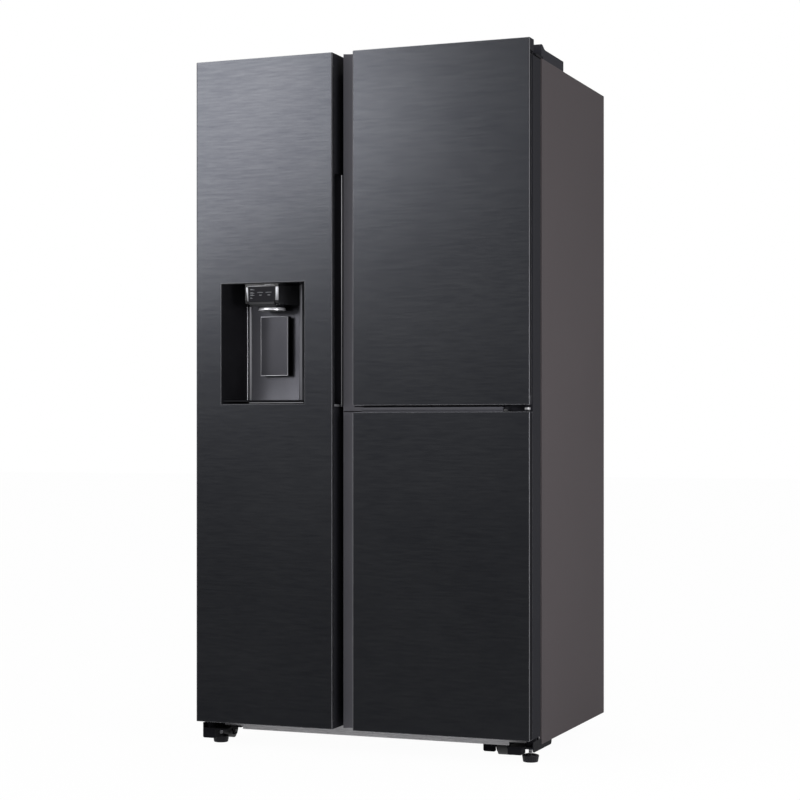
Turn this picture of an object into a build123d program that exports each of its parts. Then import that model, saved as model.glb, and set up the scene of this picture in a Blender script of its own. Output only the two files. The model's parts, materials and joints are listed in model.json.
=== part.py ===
"""Side-by-side refrigerator with a dispenser and a door-in-door on the fridge side.

Millimetres. X runs to the right, Y to the back and Z up from the floor.
The origin is on the floor, in the middle of the width and of the depth.
"""
import os
from build123d import *

os.makedirs("parts", exist_ok=True)

# ------------------------------------------------------------------ overall sizes
width = 912.0
depth = 716.0                  # steel door fronts to the back panel
case_bottom = 44.0             # underside of the cabinet above the floor
case_height = 1721.0
door_bottom = 66.0
door_rise = 35.0               # door tops above the cabinet's top
door_depth = 94.0              # steel front to the back of the door body
gasket_gap = 14.0              # door body to cabinet front
freezer_door_width = 386.0

half_width = width / 2
front_y = -depth / 2
back_y = depth / 2
door_back_y = front_y + door_depth
case_front_y = door_back_y + gasket_gap
case_top = case_bottom + case_height
door_top = case_top + door_rise
door_height = door_top - door_bottom

# ------------------------------------------------------------------ walls and clearances
sheet = 1.0                    # steel sheet
liner_wall = 2.0               # moulded compartment liner
side_wall = 60.0
centre_wall = 66.0
centre_offset = 9.0            # middle of that wall from the side of the freezer door
ceiling_wall = 60.0
floor_wall = 86.0
rear_wall = 70.0
free_gap = 0.3                 # between bodies that move on each other
pin_gap = 0.1                  # a pin in its bore, on the radius
machine_height = 256.0         # compressor compartment at the bottom of the back
machine_depth = 208.0
step_wall = 55.0               # insulation over the compressor compartment

cavity_z = (case_bottom + floor_wall, case_top - ceiling_wall)
cavity_back_y = back_y - rear_wall
centre_x = -half_width + freezer_door_width + centre_offset
freezer_x = (-half_width + side_wall, centre_x - centre_wall / 2)
fridge_x = (centre_x + centre_wall / 2, half_width - side_wall)
machine_front_y = back_y - machine_depth
machine_top = case_bottom + machine_height
step_y = machine_front_y - step_wall
step_top = machine_top + step_wall
panel_y = back_y - 3.0         # back panel face, its stiffening ribs stand out to the back

# ------------------------------------------------------------------ door leaves
moulding_gap = 17.0            # between the two full-height doors
grip_moulding_width = 40.0     # dark moulding beside the steel of the fridge door
skin_return = 26.0             # steel folded round the hinge side
edge_radius = 2.5              # bend of the steel
cap_height = 34.0              # top caps
bottom_cap_height = 20.0
side_moulding = 8.0            # plastic side strip of the freezer door

freezer_door_x = (-half_width, -half_width + freezer_door_width)
grip_x = freezer_door_x[1] + moulding_gap
steel_x = grip_x + grip_moulding_width
frame_y = front_y + skin_return

# hinges of the full-height doors
pin_radius = 5.0
pin_x = half_width - 14.0
pin_y = front_y + 63.0
arm_half_width = 13.0
hinge_plate = 5.0
notch_depth = 39.0             # hinge pocket in the top of each door
notch_x = half_width - 58.0

# showcase door on the upper half of the fridge door
split_z = 877.5                # top of the lower steel
showcase_gap = 18.0            # lower steel to the showcase door
slab_depth = 18.0
showcase_seal_gap = 8.0        # slab to the frame of the fridge door
showcase_cap_depth = 37.0
showcase_cap_height = 30.0
showcase_pin_radius = 3.5
showcase_pin_x = half_width - 9.0
showcase_pin_y = front_y + 11.0
slab_back_y = front_y + slab_depth
showcase_bottom = split_z + showcase_gap

# door liners: a raised rim behind the gasket that reaches into the compartment
door_liner = 3.0
rim_reach = 35.0               # past the cabinet front
rim_wall = 14.0
rim_corner = 12.0
rim_hinge_gap = 12.0
rim_free_gap = 16.0
rim_end_gap = 12.0
bin_reach = 85.0               # past the cabinet front
bin_wall = 3.0
bin_height = 105.0
rim_y = case_front_y + rim_reach
bin_y = case_front_y + bin_reach
door_liner_y = door_back_y + door_liner
rim_z = (cavity_z[0] + rim_end_gap, cavity_z[1] - rim_end_gap)
freezer_rim_x = (freezer_x[0] + rim_hinge_gap, freezer_x[1] - rim_free_gap)
fridge_rim_x = (fridge_x[0] + rim_free_gap, fridge_x[1] - rim_hinge_gap)

# magnetic gaskets
gasket_width = 18.0
gasket_bulb = 12.0
gasket_base = 4.0
gasket_end_gap = 48.0          # from the cabinet's bottom edge

# dispenser in the freezer door
niche_margin = 74.0            # from the hinge side of the door
niche_width = 233.0
niche_bottom = 902.0
niche_height = 311.5
niche_taper = (47.0, 49.0)     # how far the side walls lean in
niche_floor_rise = 6.0
niche_wall = 2.5
niche_back_y = door_back_y - 3.5
head_width = 94.0
head_offset = 3.5              # the head is a little left of the middle of the niche
head_height = 54.0
head_front_y = front_y + 3.0
display_size = (74.0, 38.0)
niche_x = (-half_width + niche_margin, -half_width + niche_margin + niche_width)
niche_z = (niche_bottom, niche_bottom + niche_height)
niche_back_x = (niche_x[0] + niche_taper[0], niche_x[1] - niche_taper[1])
head_x = (niche_x[0] + niche_x[1]) / 2 - head_offset
chute_radius = 35.5
chute_wall = 6.0
chute_height = 11.0
chute_y = niche_back_y - chute_radius - 1.0
paddle_size = (78.0, 155.0)
paddle_wall = 5.0
paddle_y = front_y + 71.0
paddle_drop = 83.5             # top of the paddle below the top of the niche
paddle_pin = 2.5
paddle_top = niche_z[1] - paddle_drop

# handle pocket in the side of the freezer door
pocket_bottom = 900.0
pocket_height = 592.0
pocket_z = (pocket_bottom, pocket_bottom + pocket_height)
pocket_y = (front_y + 15.5, front_y + 61.0)
pocket_depth = 30.0
pocket_wall = 2.5
trim_width = 6.0
trim_wall = 0.6

# inside fittings
shelf_thickness = 5.0
shelf_front_y = case_front_y + 125.0
shelf_back_gap = 26.0
shelf_side_gap = 1.5
rib_width = 8.0
rib_height = 6.0
freezer_shelf_z = (580.0, 800.0, 1020.0, 1240.0, 1460.0)
fridge_shelf_z = (590.0, 780.0, 990.0, 1200.0, 1450.0)
drawer_side_gap = 12.0
drawer_wall = 2.5
drawer_front = 10.0
drawer_step = 6.0              # bottom of the compartment to the lower drawers
lower_drawer_height = 185.0
upper_drawer_height = 190.0
duct_depth = 22.0

# feet, rollers and leg brackets
foot_x = half_width - 26.0
foot_y = case_front_y - 13.0
foot_radius = 21.5
foot_height = 21.0
foot_rim = 6.0                 # rim and sloping top above the tapered, fluted side
flute_width = 3.0
stud_radius = 5.0
stud_top = 48.0
front_roller_radius = 18.0
front_roller_width = 33.0
front_roller_inner_x = {"left": half_width - 43.0, "right": half_width - 123.0}
front_roller_y = case_front_y + 35.0
front_roller_z = 24.0
rear_roller_radius = 22.0
rear_roller_x = (half_width - 120.0, half_width - 96.0)
rear_roller_y = back_y - 70.0
axle_radius = 4.0
axle_end = 2.0                 # of an axle beyond its fork
bracket_plate = 4.0
bracket_wall = 2.5
bracket_front_y = front_y + 37.0
bracket_x = (half_width - 82.0, half_width - sheet)
bracket_back_y = case_front_y + 90.0
bracket_drop = 12.0
bracket_rise = 14.0            # of the outer wall in front of the cabinet
wing_x = half_width - 166.0    # the right bracket's plate reaches this far in behind the cover
flange_width = 33.0
flange_drop = 29.0
lug_depth = 30.0               # solid lug at the front of each bracket
lug_x = {"left": (foot_x - 10.0, half_width - sheet), "right": (foot_x - 42.0, foot_x - 5.0)}
lug_bottom = {"left": 18.0, "right": 24.0}
stud_boss = (8.5, 10.0)        # radius and height
pin_boss_radius = 13.0

# hinge covers
cover_width = 112.0
cover_y = (case_front_y - 6.0, case_front_y + 196.0)
cover_lip_height = 36.0
cover_height = 26.0
cover_wall = 2.0


# ------------------------------------------------------------------ helpers
def block(x, y, z, mode=Mode.ADD):
    """A block between two values on each axis."""
    middle = ((x[0] + x[1]) / 2, (y[0] + y[1]) / 2, (z[0] + z[1]) / 2)
    with Locations(middle):
        Box(x[1] - x[0], y[1] - y[0], z[1] - z[0], mode=mode)


def rod(x, y, z, radius, mode=Mode.ADD):
    """An upright cylinder between the two values of z."""
    with Locations((x, y, (z[0] + z[1]) / 2)):
        Cylinder(radius, z[1] - z[0], mode=mode)


def cross_rod(x, y, z, radius, mode=Mode.ADD):
    """A cylinder along X between the two values of x."""
    with Locations(Location(((x[0] + x[1]) / 2, y, z), (0, 90, 0))):
        Cylinder(radius, x[1] - x[0], mode=mode)


def rectangle(a, b, mode=Mode.ADD):
    """A rectangle in the open sketch between two values on each of its axes."""
    with Locations(((a[0] + a[1]) / 2, (b[0] + b[1]) / 2)):
        Rectangle(a[1] - a[0], b[1] - b[0], mode=mode)


def facing_front(y):
    """The plane at y that looks to the front: extrude with a negative amount goes back."""
    return Plane.XZ.offset(-y)


def sides(side, a, b):
    """Two distances from the middle, as a low and a high X on the given side."""
    return (min(side * a, side * b), max(side * a, side * b))


def inset(span, amount):
    """A span moved in by the same amount at both ends."""
    return (span[0] + amount, span[1] - amount)


def compartment_outline(wall):
    """Corners of a compartment seen from the side, in YZ, with its walls moved in."""
    slope = wall * 0.414
    return (
        (case_front_y, cavity_z[0] + wall),
        (step_y - wall, cavity_z[0] + wall),
        (step_y - wall, machine_top + slope),
        (machine_front_y - slope, step_top + wall),
        (cavity_back_y - wall, step_top + wall),
        (cavity_back_y - wall, cavity_z[1] - wall),
        (case_front_y, cavity_z[1] - wall),
    )


# ------------------------------------------------------------------ cabinet shell
for side, name in ((-1, "left"), (1, "right")):
    with BuildPart() as side_panel:
        block(sides(side, half_width - sheet, half_width), (case_front_y, back_y), (case_bottom, case_top))
        block(sides(side, half_width - side_wall, half_width - sheet),
              (case_front_y, case_front_y + sheet), (case_bottom + floor_wall, case_top - sheet))
        block(sides(side, half_width - 14.0, half_width - sheet), (back_y - sheet, back_y),
              (case_bottom, case_top - sheet))
        front_edges = side_panel.edges().filter_by(Axis.Z).group_by(Axis.Y)[0]
        fillet(front_edges.sort_by(Axis.X)[-1 if side > 0 else 0], sheet * 0.9)
    side_panel.part.label = f"side_panel_{name}"
    export_step(side_panel.part, f"parts/side_panel_{name}.step")

inner_half = half_width - sheet
with BuildPart() as top_panel:
    block((-inner_half, inner_half), (case_front_y, back_y - sheet), (case_top - sheet, case_top))
    block(inset((-half_width, half_width), side_wall), (case_front_y, case_front_y + sheet),
          (cavity_z[1], case_top - sheet))
top_panel.part.label = "top_panel"
export_step(top_panel.part, "parts/top_panel.step")

with BuildPart() as back_panel:
    block((-inner_half, inner_half), (panel_y - sheet, panel_y), (machine_top, case_top - sheet))
    with BuildSketch(facing_front(panel_y)):
        for x in (-300.0, -100.0, 100.0, 300.0):
            with Locations((x, (machine_top + case_top) / 2)):
                Rectangle(26.0, case_height - machine_height - 160.0)
    extrude(amount=-(back_y - panel_y), taper=45.0)
back_panel.part.label = "back_panel"
export_step(back_panel.part, "parts/back_panel.step")

roller_clevis_gap = 0.8
clevis_wall = 3.0
with BuildPart() as base_plate:
    block((-inner_half, inner_half), (case_front_y, back_y - sheet), (case_bottom, case_bottom + sheet))
    block((-inner_half, inner_half), (case_front_y, case_front_y + sheet),
          (case_bottom + sheet, cavity_z[0]))
    for side in (-1, 1):
        low, high = rear_roller_x
        for ear in ((low - roller_clevis_gap - clevis_wall, low - roller_clevis_gap),
                    (high + roller_clevis_gap, high + roller_clevis_gap + clevis_wall)):
            with BuildSketch(Plane.YZ.offset(side * ear[0])):
                Polygon((rear_roller_y - 20.0, case_bottom), (rear_roller_y + 20.0, case_bottom),
                        (rear_roller_y + 9.0, rear_roller_radius - 8.0),
                        (rear_roller_y - 9.0, rear_roller_radius - 8.0), align=None)
                with Locations((rear_roller_y, rear_roller_radius)):
                    Circle(axle_radius + pin_gap, mode=Mode.SUBTRACT)
            extrude(amount=side * (ear[1] - ear[0]))
base_plate.part.label = "base_plate"
export_step(base_plate.part, "parts/base_plate.step")

with BuildPart() as insulation:
    block((-inner_half, inner_half), (case_front_y + sheet, panel_y - sheet),
          (case_bottom + sheet, case_top - sheet))
    block((-inner_half, inner_half), (machine_front_y, panel_y), (case_bottom, machine_top),
          mode=Mode.SUBTRACT)
    for x in (freezer_x, fridge_x):
        with BuildSketch(Plane.YZ.offset(x[0])):
            Polygon(*compartment_outline(0.0), align=None)
        extrude(amount=x[1] - x[0], mode=Mode.SUBTRACT)
insulation.part.label = "insulation"
export_step(insulation.part, "parts/insulation.step")

with BuildPart() as centre_rail:
    block((freezer_x[1], fridge_x[0]), (case_front_y, case_front_y + sheet), cavity_z)
centre_rail.part.label = "centre_rail"
export_step(centre_rail.part, "parts/centre_rail.step")

# the liners carry moulded ribs: shelf ribs, and wider runners under the drawers
lower_drawer_z = (cavity_z[0] + liner_wall + drawer_step,
                  cavity_z[0] + liner_wall + drawer_step + lower_drawer_height)
upper_drawer_z = (step_top + liner_wall + drawer_step,
                  step_top + liner_wall + drawer_step + upper_drawer_height)
drawer_front_y = shelf_front_y
lower_drawer_y = (drawer_front_y, step_y - liner_wall - 12.0)
upper_drawer_y = (drawer_front_y, cavity_back_y - liner_wall - duct_depth - 8.0)
for name, x, shelf_heights in (("freezer_liner", freezer_x, freezer_shelf_z),
                               ("fridge_liner", fridge_x, fridge_shelf_z)):
    with BuildPart() as hollow:
        with BuildSketch(Plane.YZ.offset(x[0] + liner_wall)):
            Polygon(*compartment_outline(liner_wall), align=None)
        extrude(amount=x[1] - x[0] - 2 * liner_wall)
        fillet(hollow.edges().filter_by(Axis.Z).group_by(Axis.Y)[-1], 14.0)
    with BuildPart() as liner:
        with BuildSketch(Plane.YZ.offset(x[0])):
            Polygon(*compartment_outline(0.0), align=None)
        extrude(amount=x[1] - x[0])
        add(hollow.part, mode=Mode.SUBTRACT)
        wall_x = inset(x, liner_wall)
        runner = drawer_side_gap + 10.0
        for low, high in ((wall_x[0], wall_x[0] + 1.0), (wall_x[1] - 1.0, wall_x[1])):
            inward = 1 if low == wall_x[0] else -1
            start = low if inward > 0 else high
            for z in shelf_heights:
                block(sides(inward, inward * start, inward * start + rib_width),
                      (shelf_front_y, cavity_back_y - 40.0), (z - rib_height, z))
            for z, y in ((lower_drawer_z[0], lower_drawer_y), (upper_drawer_z[0], upper_drawer_y)):
                block(sides(inward, inward * start, inward * start + runner),
                      (drawer_front_y + 14.0, y[1]), (z - free_gap - 5.0, z - free_gap))
    liner.part.label = name
    export_step(liner.part, f"parts/{name}.step")

# a grooved strip across the front, cut out below at its ends for the brackets
strip_half = half_width - 7.0
strip_front_y = case_front_y - 4.0
strip_z = (case_bottom - 8.0, door_bottom - 3.0)
groove_pitch = 4.5
with BuildPart() as base_cover:
    with BuildSketch(Plane.YZ.offset(-strip_half)):
        rectangle((strip_front_y, case_front_y), strip_z)
        with Locations((strip_front_y, strip_z[0] + 5.0 + 1.5 * groove_pitch)):
            with GridLocations(0, groove_pitch, 1, 4):
                Circle(1.1, mode=Mode.SUBTRACT)
    extrude(amount=2 * strip_half)
    for side in (-1, 1):
        block(sides(side, bracket_x[0] - 4.0, half_width), (strip_front_y - 1.0, case_front_y),
              (strip_z[0] - 1.0, case_bottom + 0.4), mode=Mode.SUBTRACT)
base_cover.part.label = "base_cover"
export_step(base_cover.part, "parts/base_cover.step")

# ------------------------------------------------------------------ shelves, ducts and lamps
for name, x, shelf_heights in (("freezer_shelves", freezer_x, freezer_shelf_z),
                               ("fridge_shelves", fridge_x, fridge_shelf_z)):
    shelf_x = inset(x, liner_wall + shelf_side_gap)
    shelf_back_y = cavity_back_y - liner_wall - shelf_back_gap
    with BuildPart() as shelves:
        for z in shelf_heights:
            with BuildSketch(Plane.YZ.offset(shelf_x[0])):
                rectangle((shelf_front_y + 4.0, shelf_back_y), (z, z + shelf_thickness))
                rectangle((shelf_front_y, shelf_front_y + 12.0), (z, z + 11.0))
                rectangle((shelf_back_y - 5.0, shelf_back_y), (z, z + 16.0))
            extrude(amount=shelf_x[1] - shelf_x[0])
        nose = shelves.edges().filter_by(Axis.X).group_by(Axis.Y)[0]
        fillet(nose, 3.0)
    shelves.part.label = name
    export_step(shelves.part, f"parts/{name}.step")

duct_back_y = cavity_back_y - liner_wall
with BuildPart() as air_ducts:
    for x, duct_half in ((freezer_x, 112.0), (fridge_x, 80.0)):
        middle = (x[0] + x[1]) / 2
        block((middle - duct_half, middle + duct_half), (duct_back_y - duct_depth, duct_back_y),
              (upper_drawer_z[1] + 30.0, cavity_z[1] - 50.0))
    fillet(air_ducts.edges().group_by(Axis.Y)[0], 8.0)
    with BuildSketch(facing_front(duct_back_y - duct_depth)):
        for x, half_pitch in ((freezer_x, 70.0), (fridge_x, 46.0)):
            middle = (x[0] + x[1]) / 2
            for z in freezer_shelf_z:
                with Locations((middle - half_pitch, z + 120.0), (middle + half_pitch, z + 120.0)):
                    Rectangle(60.0, 12.0)
    extrude(amount=-8.0, mode=Mode.SUBTRACT)
air_ducts.part.label = "air_ducts"
export_step(air_ducts.part, "parts/air_ducts.step")

lamp_z = (cavity_z[1] - liner_wall - 7.0, cavity_z[1] - liner_wall)
with BuildPart() as ceiling_lamps:
    for x in (freezer_x, fridge_x):
        middle = (x[0] + x[1]) / 2
        block((middle - 85.0, middle + 85.0), (shelf_front_y + 20.0, shelf_front_y + 70.0), lamp_z)
    fillet(ceiling_lamps.edges().group_by(Axis.Z)[0], 3.0)
ceiling_lamps.part.label = "ceiling_lamps"
export_step(ceiling_lamps.part, "parts/ceiling_lamps.step")


# ------------------------------------------------------------------ drawers
def drawer(name, x, y, z):
    """An open tray with a deep front, a grip along the top of the front and rounded corners."""
    corner = 10.0
    with BuildPart() as tray:
        with BuildSketch(Plane.XY.offset(z[0])):
            with Locations(((x[0] + x[1]) / 2, (y[0] + y[1]) / 2)):
                RectangleRounded(x[1] - x[0], y[1] - y[0], corner)
        extrude(amount=z[1] - z[0] - 14.0)
        chamfer(tray.edges().group_by(Axis.Z)[0], 2.0)
        inner_y = (y[0] + drawer_front, y[1] - drawer_wall)
        with BuildSketch(Plane.XY.offset(z[0] + drawer_wall)):
            with Locations(((x[0] + x[1]) / 2, (inner_y[0] + inner_y[1]) / 2)):
                RectangleRounded(x[1] - x[0] - 2 * drawer_wall, inner_y[1] - inner_y[0],
                                 corner - drawer_wall)
        extrude(amount=z[1] - z[0], mode=Mode.SUBTRACT)
        with BuildSketch(Plane.YZ.offset(x[0] + 6.0)):
            Polygon((y[0], z[1] - 40.0), (y[0] + drawer_front, z[1] - 40.0),
                    (y[0] + drawer_front, z[1] - 6.0), (y[0] + 22.0, z[1] - 6.0),
                    (y[0] + 22.0, z[1]), (y[0] + 4.0, z[1]), align=None)
        extrude(amount=x[1] - x[0] - 12.0)
    tray.part.label = name
    export_step(tray.part, f"parts/{name}.step")


for name, x in (("freezer", freezer_x), ("fridge", fridge_x)):
    drawer_x = inset(x, liner_wall + drawer_side_gap)
    drawer(f"{name}_drawer_lower", drawer_x, lower_drawer_y, lower_drawer_z)
    drawer(f"{name}_drawer_upper", drawer_x, upper_drawer_y, upper_drawer_z)

# ------------------------------------------------------------------ compressor compartment
compressor_radius = 78.0
compressor_x = half_width - 186.0
compressor_height = 190.0
compressor_y = (machine_front_y + back_y) / 2
compartment_floor = case_bottom + sheet
compressor_z = (compartment_floor + 18.0, compartment_floor + compressor_height)
with BuildPart() as compressor_shell:
    with BuildSketch(Plane.XZ):
        rectangle((0.0, compressor_radius), compressor_z)
        rectangle((0.0, compressor_radius + 4.0), (compressor_z[0] + 82.0, compressor_z[0] + 90.0))
        dome = compressor_radius * 0.45
        top_corner = (compressor_radius, compressor_z[1])
        Polygon((compressor_radius - dome, compressor_z[1]), top_corner,
                (compressor_radius, compressor_z[1] - dome), align=None, mode=Mode.SUBTRACT)
    revolve(axis=Axis.Z)
with BuildPart() as compressor:
    with Locations((compressor_x, compressor_y)):
        add(compressor_shell.part)
    with BuildSketch(Plane.XY.offset(compartment_floor + 14.0)):
        with Locations((compressor_x, compressor_y)):
            RectangleRounded(210.0, 120.0, 16.0)
    extrude(amount=5.0)
    with BuildSketch(Plane.XY.offset(compartment_floor)):
        with Locations((compressor_x, compressor_y)):
            with GridLocations(180.0, 92.0, 2, 2):
                Circle(10.0)
    extrude(amount=14.5)
compressor.part.label = "compressor"
export_step(compressor.part, "parts/compressor.step")

drain_pan_x = (-half_width + 36.0, -half_width + 366.0)
drain_pan_y = (machine_front_y + 12.0, back_y - 24.0)
drain_pan_height = 34.0
with BuildPart() as drain_pan:
    with BuildSketch(Plane.XY.offset(compartment_floor)):
        rectangle(drain_pan_x, drain_pan_y)
    extrude(amount=drain_pan_height, taper=-4.0)
    with BuildSketch(Plane.XY.offset(compartment_floor + 2.0)):
        rectangle(inset(drain_pan_x, 2.0), inset(drain_pan_y, 2.0))
    extrude(amount=drain_pan_height, taper=-4.0, mode=Mode.SUBTRACT)
    for x in (drain_pan_x[0] + 30.0, drain_pan_x[1] - 30.0):
        block((x - 12.0, x + 12.0), inset(drain_pan_y, 8.0),
              (compartment_floor + 1.0, compartment_floor + drain_pan_height + 6.0))
drain_pan.part.label = "drain_pan"
export_step(drain_pan.part, "parts/drain_pan.step")

# the condenser stands on the pan's two cross bars and carries the fan's shroud and motor
condenser_z = (compartment_floor + drain_pan_height + 6.0, machine_top - 20.0)
condenser_x = inset(drain_pan_x, 12.0)
condenser_y = (machine_front_y + 30.0, back_y - 44.0)
fin_pitch = 34.0
fan_x = condenser_x[1] + 58.0
fan_y = (condenser_y[0] + condenser_y[1]) / 2
fan_z = (condenser_z[0] + condenser_z[1]) / 2
fan_radius = 70.0
shaft_radius = 3.0
fin_count = int((condenser_x[1] - condenser_x[0]) / fin_pitch)
with BuildPart() as condenser:
    for index in range(fin_count):
        x = condenser_x[0] + fin_pitch * (index + 0.5)
        block((x - 0.8, x + 0.8), condenser_y, condenser_z)
    for z in (condenser_z[0] + 40.0, condenser_z[1] - 40.0):
        cross_rod((condenser_x[0], condenser_x[1] + 6.0), fan_y, z, 4.5)
    block((condenser_x[1] + 4.0, condenser_x[1] + 8.0), condenser_y, condenser_z)
    cross_rod((condenser_x[1] + 8.0, fan_x - 24.0), fan_y, fan_z, 26.0)
    cross_rod((condenser_x[1] + 12.0, fan_x), fan_y, fan_z, shaft_radius + pin_gap, mode=Mode.SUBTRACT)
condenser.part.label = "condenser"
export_step(condenser.part, "parts/condenser.step")

with BuildPart() as condenser_fan:
    cross_rod((condenser_x[1] + 16.0, fan_x + 12.0), fan_y, fan_z, shaft_radius)
    cross_rod((fan_x - 20.0, fan_x + 12.0), fan_y, fan_z, 19.0)
    for turn in range(5):
        with BuildSketch(Plane.YZ.offset(fan_x - 8.0)):
            with Locations(Location((fan_y, fan_z), turn * 72.0)):
                with Locations((fan_radius / 2 + 4.0, 0)):
                    Trapezoid(34.0, fan_radius - 12.0, 80.0, rotation=90)
        extrude(amount=6.0)
condenser_fan.part.label = "condenser_fan"
export_step(condenser_fan.part, "parts/condenser_fan.step")

vent_pitch = 18.0
with BuildPart() as machine_cover:
    with BuildSketch(facing_front(panel_y + 0.6)):
        rectangle((-half_width + 15.0, half_width - 15.0), (case_bottom + 6.0, machine_top + 6.0))
        for x in (-240.0, 0.0, 240.0):
            with Locations((x, (case_bottom + machine_top) / 2)):
                with GridLocations(0, vent_pitch, 1, 9):
                    Rectangle(190.0, 8.0, mode=Mode.SUBTRACT)
    extrude(amount=-sheet)
    block((-half_width + 15.0, half_width - 15.0), (panel_y, panel_y + 0.6),
          (machine_top, machine_top + 6.0))
machine_cover.part.label = "machine_cover"
export_step(machine_cover.part, "parts/machine_cover.step")

# ------------------------------------------------------------------ legs, hinges and rollers
for side, name in ((-1, "left"), (1, "right")):
    plate_z = (case_bottom - bracket_plate, case_bottom)
    bore_gap = axle_radius + pin_gap
    low = front_roller_inner_x[name]
    high = low + front_roller_width
    with BuildPart() as lower_hinge:
        block(sides(side, *bracket_x), (strip_front_y - 3.0, bracket_back_y), plate_z)
        block(sides(side, foot_x - 44.0, bracket_x[1]), (bracket_front_y, strip_front_y - 3.0), plate_z)
        if name == "right":
            block((wing_x, bracket_x[0]), (case_front_y + 0.5, bracket_back_y), plate_z)
            with BuildSketch(facing_front(front_roller_y - 10.0)):
                with Locations((wing_x + 3.0 + flange_width / 2, case_bottom - flange_drop / 2 - 2.0)):
                    RectangleRounded(flange_width, flange_drop, 5.0)
            extrude(amount=-bracket_plate)
        block(sides(side, low - roller_clevis_gap, high + roller_clevis_gap),
              (front_roller_y - front_roller_radius - 2.0, front_roller_y + front_roller_radius + 2.0),
              plate_z, mode=Mode.SUBTRACT)
        with BuildSketch(Plane.YZ.offset(side * bracket_x[1])):
            with Locations(((bracket_front_y + bracket_back_y) / 2, case_bottom)):
                RectangleRounded(bracket_back_y - bracket_front_y, 2 * bracket_drop, 9.0)
            rectangle((bracket_front_y, bracket_back_y), (case_bottom, case_bottom + bracket_drop + 1.0),
                      mode=Mode.SUBTRACT)
            rectangle((bracket_front_y, case_front_y - 1.0), (case_bottom - 1.0, case_bottom + bracket_rise))
        extrude(amount=-side * bracket_wall)
        with BuildSketch(facing_front(bracket_front_y)):
            lug = sides(side, *lug_x[name])
            lug_z = (lug_bottom[name], case_bottom - 3.0)
            with Locations((sum(lug) / 2, sum(lug_z) / 2)):
                RectangleRounded(lug[1] - lug[0], lug_z[1] - lug_z[0], 4.0)
            rectangle(lug, (lug_z[1] - 6.0, lug_z[1]))
        extrude(amount=-lug_depth)
        for ear in ((low - roller_clevis_gap - clevis_wall, low - roller_clevis_gap),
                    (high + roller_clevis_gap, high + roller_clevis_gap + clevis_wall)):
            with BuildSketch(Plane.YZ.offset(side * ear[0])):
                Polygon((front_roller_y - 24.0, case_bottom - 1.0),
                        (front_roller_y + 24.0, case_bottom - 1.0),
                        (front_roller_y + 9.0, front_roller_z - 9.0),
                        (front_roller_y - 9.0, front_roller_z - 9.0), align=None)
                with Locations((front_roller_y, front_roller_z)):
                    Circle(bore_gap, mode=Mode.SUBTRACT)
            extrude(amount=side * (ear[1] - ear[0]))
        rod(side * foot_x, foot_y, (case_bottom - bracket_plate, case_bottom + stud_boss[1]), stud_boss[0])
        rod(side * foot_x, foot_y, (0.0, case_bottom + 20.0), stud_radius + pin_gap, mode=Mode.SUBTRACT)
        rod(side * pin_x, pin_y, (case_bottom, door_bottom - free_gap), pin_boss_radius)
        rod(side * pin_x, pin_y, (case_bottom, door_bottom + bottom_cap_height - 2.0), pin_radius)
    lower_hinge.part.label = f"lower_hinge_{name}"
    export_step(lower_hinge.part, f"parts/lower_hinge_{name}.step")

    with BuildPart() as roller:
        cross_rod(sides(side, low, high), front_roller_y, front_roller_z, front_roller_radius)
        cross_rod(sides(side, low - clevis_wall - axle_end, high + clevis_wall + axle_end),
                  front_roller_y, front_roller_z, axle_radius)
    roller.part.label = f"front_roller_{name}"
    export_step(roller.part, f"parts/front_roller_{name}.step")

    low, high = rear_roller_x
    with BuildPart() as roller:
        cross_rod(sides(side, low, high), rear_roller_y, rear_roller_radius, rear_roller_radius)
        cross_rod(sides(side, low - clevis_wall - axle_end, high + clevis_wall + axle_end),
                  rear_roller_y, rear_roller_radius, axle_radius)
    roller.part.label = f"rear_roller_{name}"
    export_step(roller.part, f"parts/rear_roller_{name}.step")

    rim_bottom = foot_height - foot_rim
    with BuildPart() as foot:
        with BuildSketch(Plane.XY):
            with Locations((side * foot_x, foot_y)):
                Circle(foot_radius - 2.5)
        extrude(amount=rim_bottom, taper=-9.0)
        rod(side * foot_x, foot_y, (rim_bottom, rim_bottom + 2.0), foot_radius)
        with Locations((side * foot_x, foot_y, rim_bottom / 2)):
            with PolarLocations(foot_radius, 12):
                Box(flute_width, flute_width, rim_bottom + 8.0, rotation=(0, 0, 45), mode=Mode.SUBTRACT)
        with BuildSketch(Plane.XY.offset(rim_bottom + 2.0)):
            with Locations((side * foot_x, foot_y)):
                Circle(foot_radius - 2.5)
        extrude(amount=foot_rim - 2.0, taper=45.0)
        rod(side * foot_x, foot_y, (rim_bottom, stud_top), stud_radius)
    foot.part.label = f"foot_{name}"
    export_step(foot.part, f"parts/foot_{name}.step")

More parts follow.
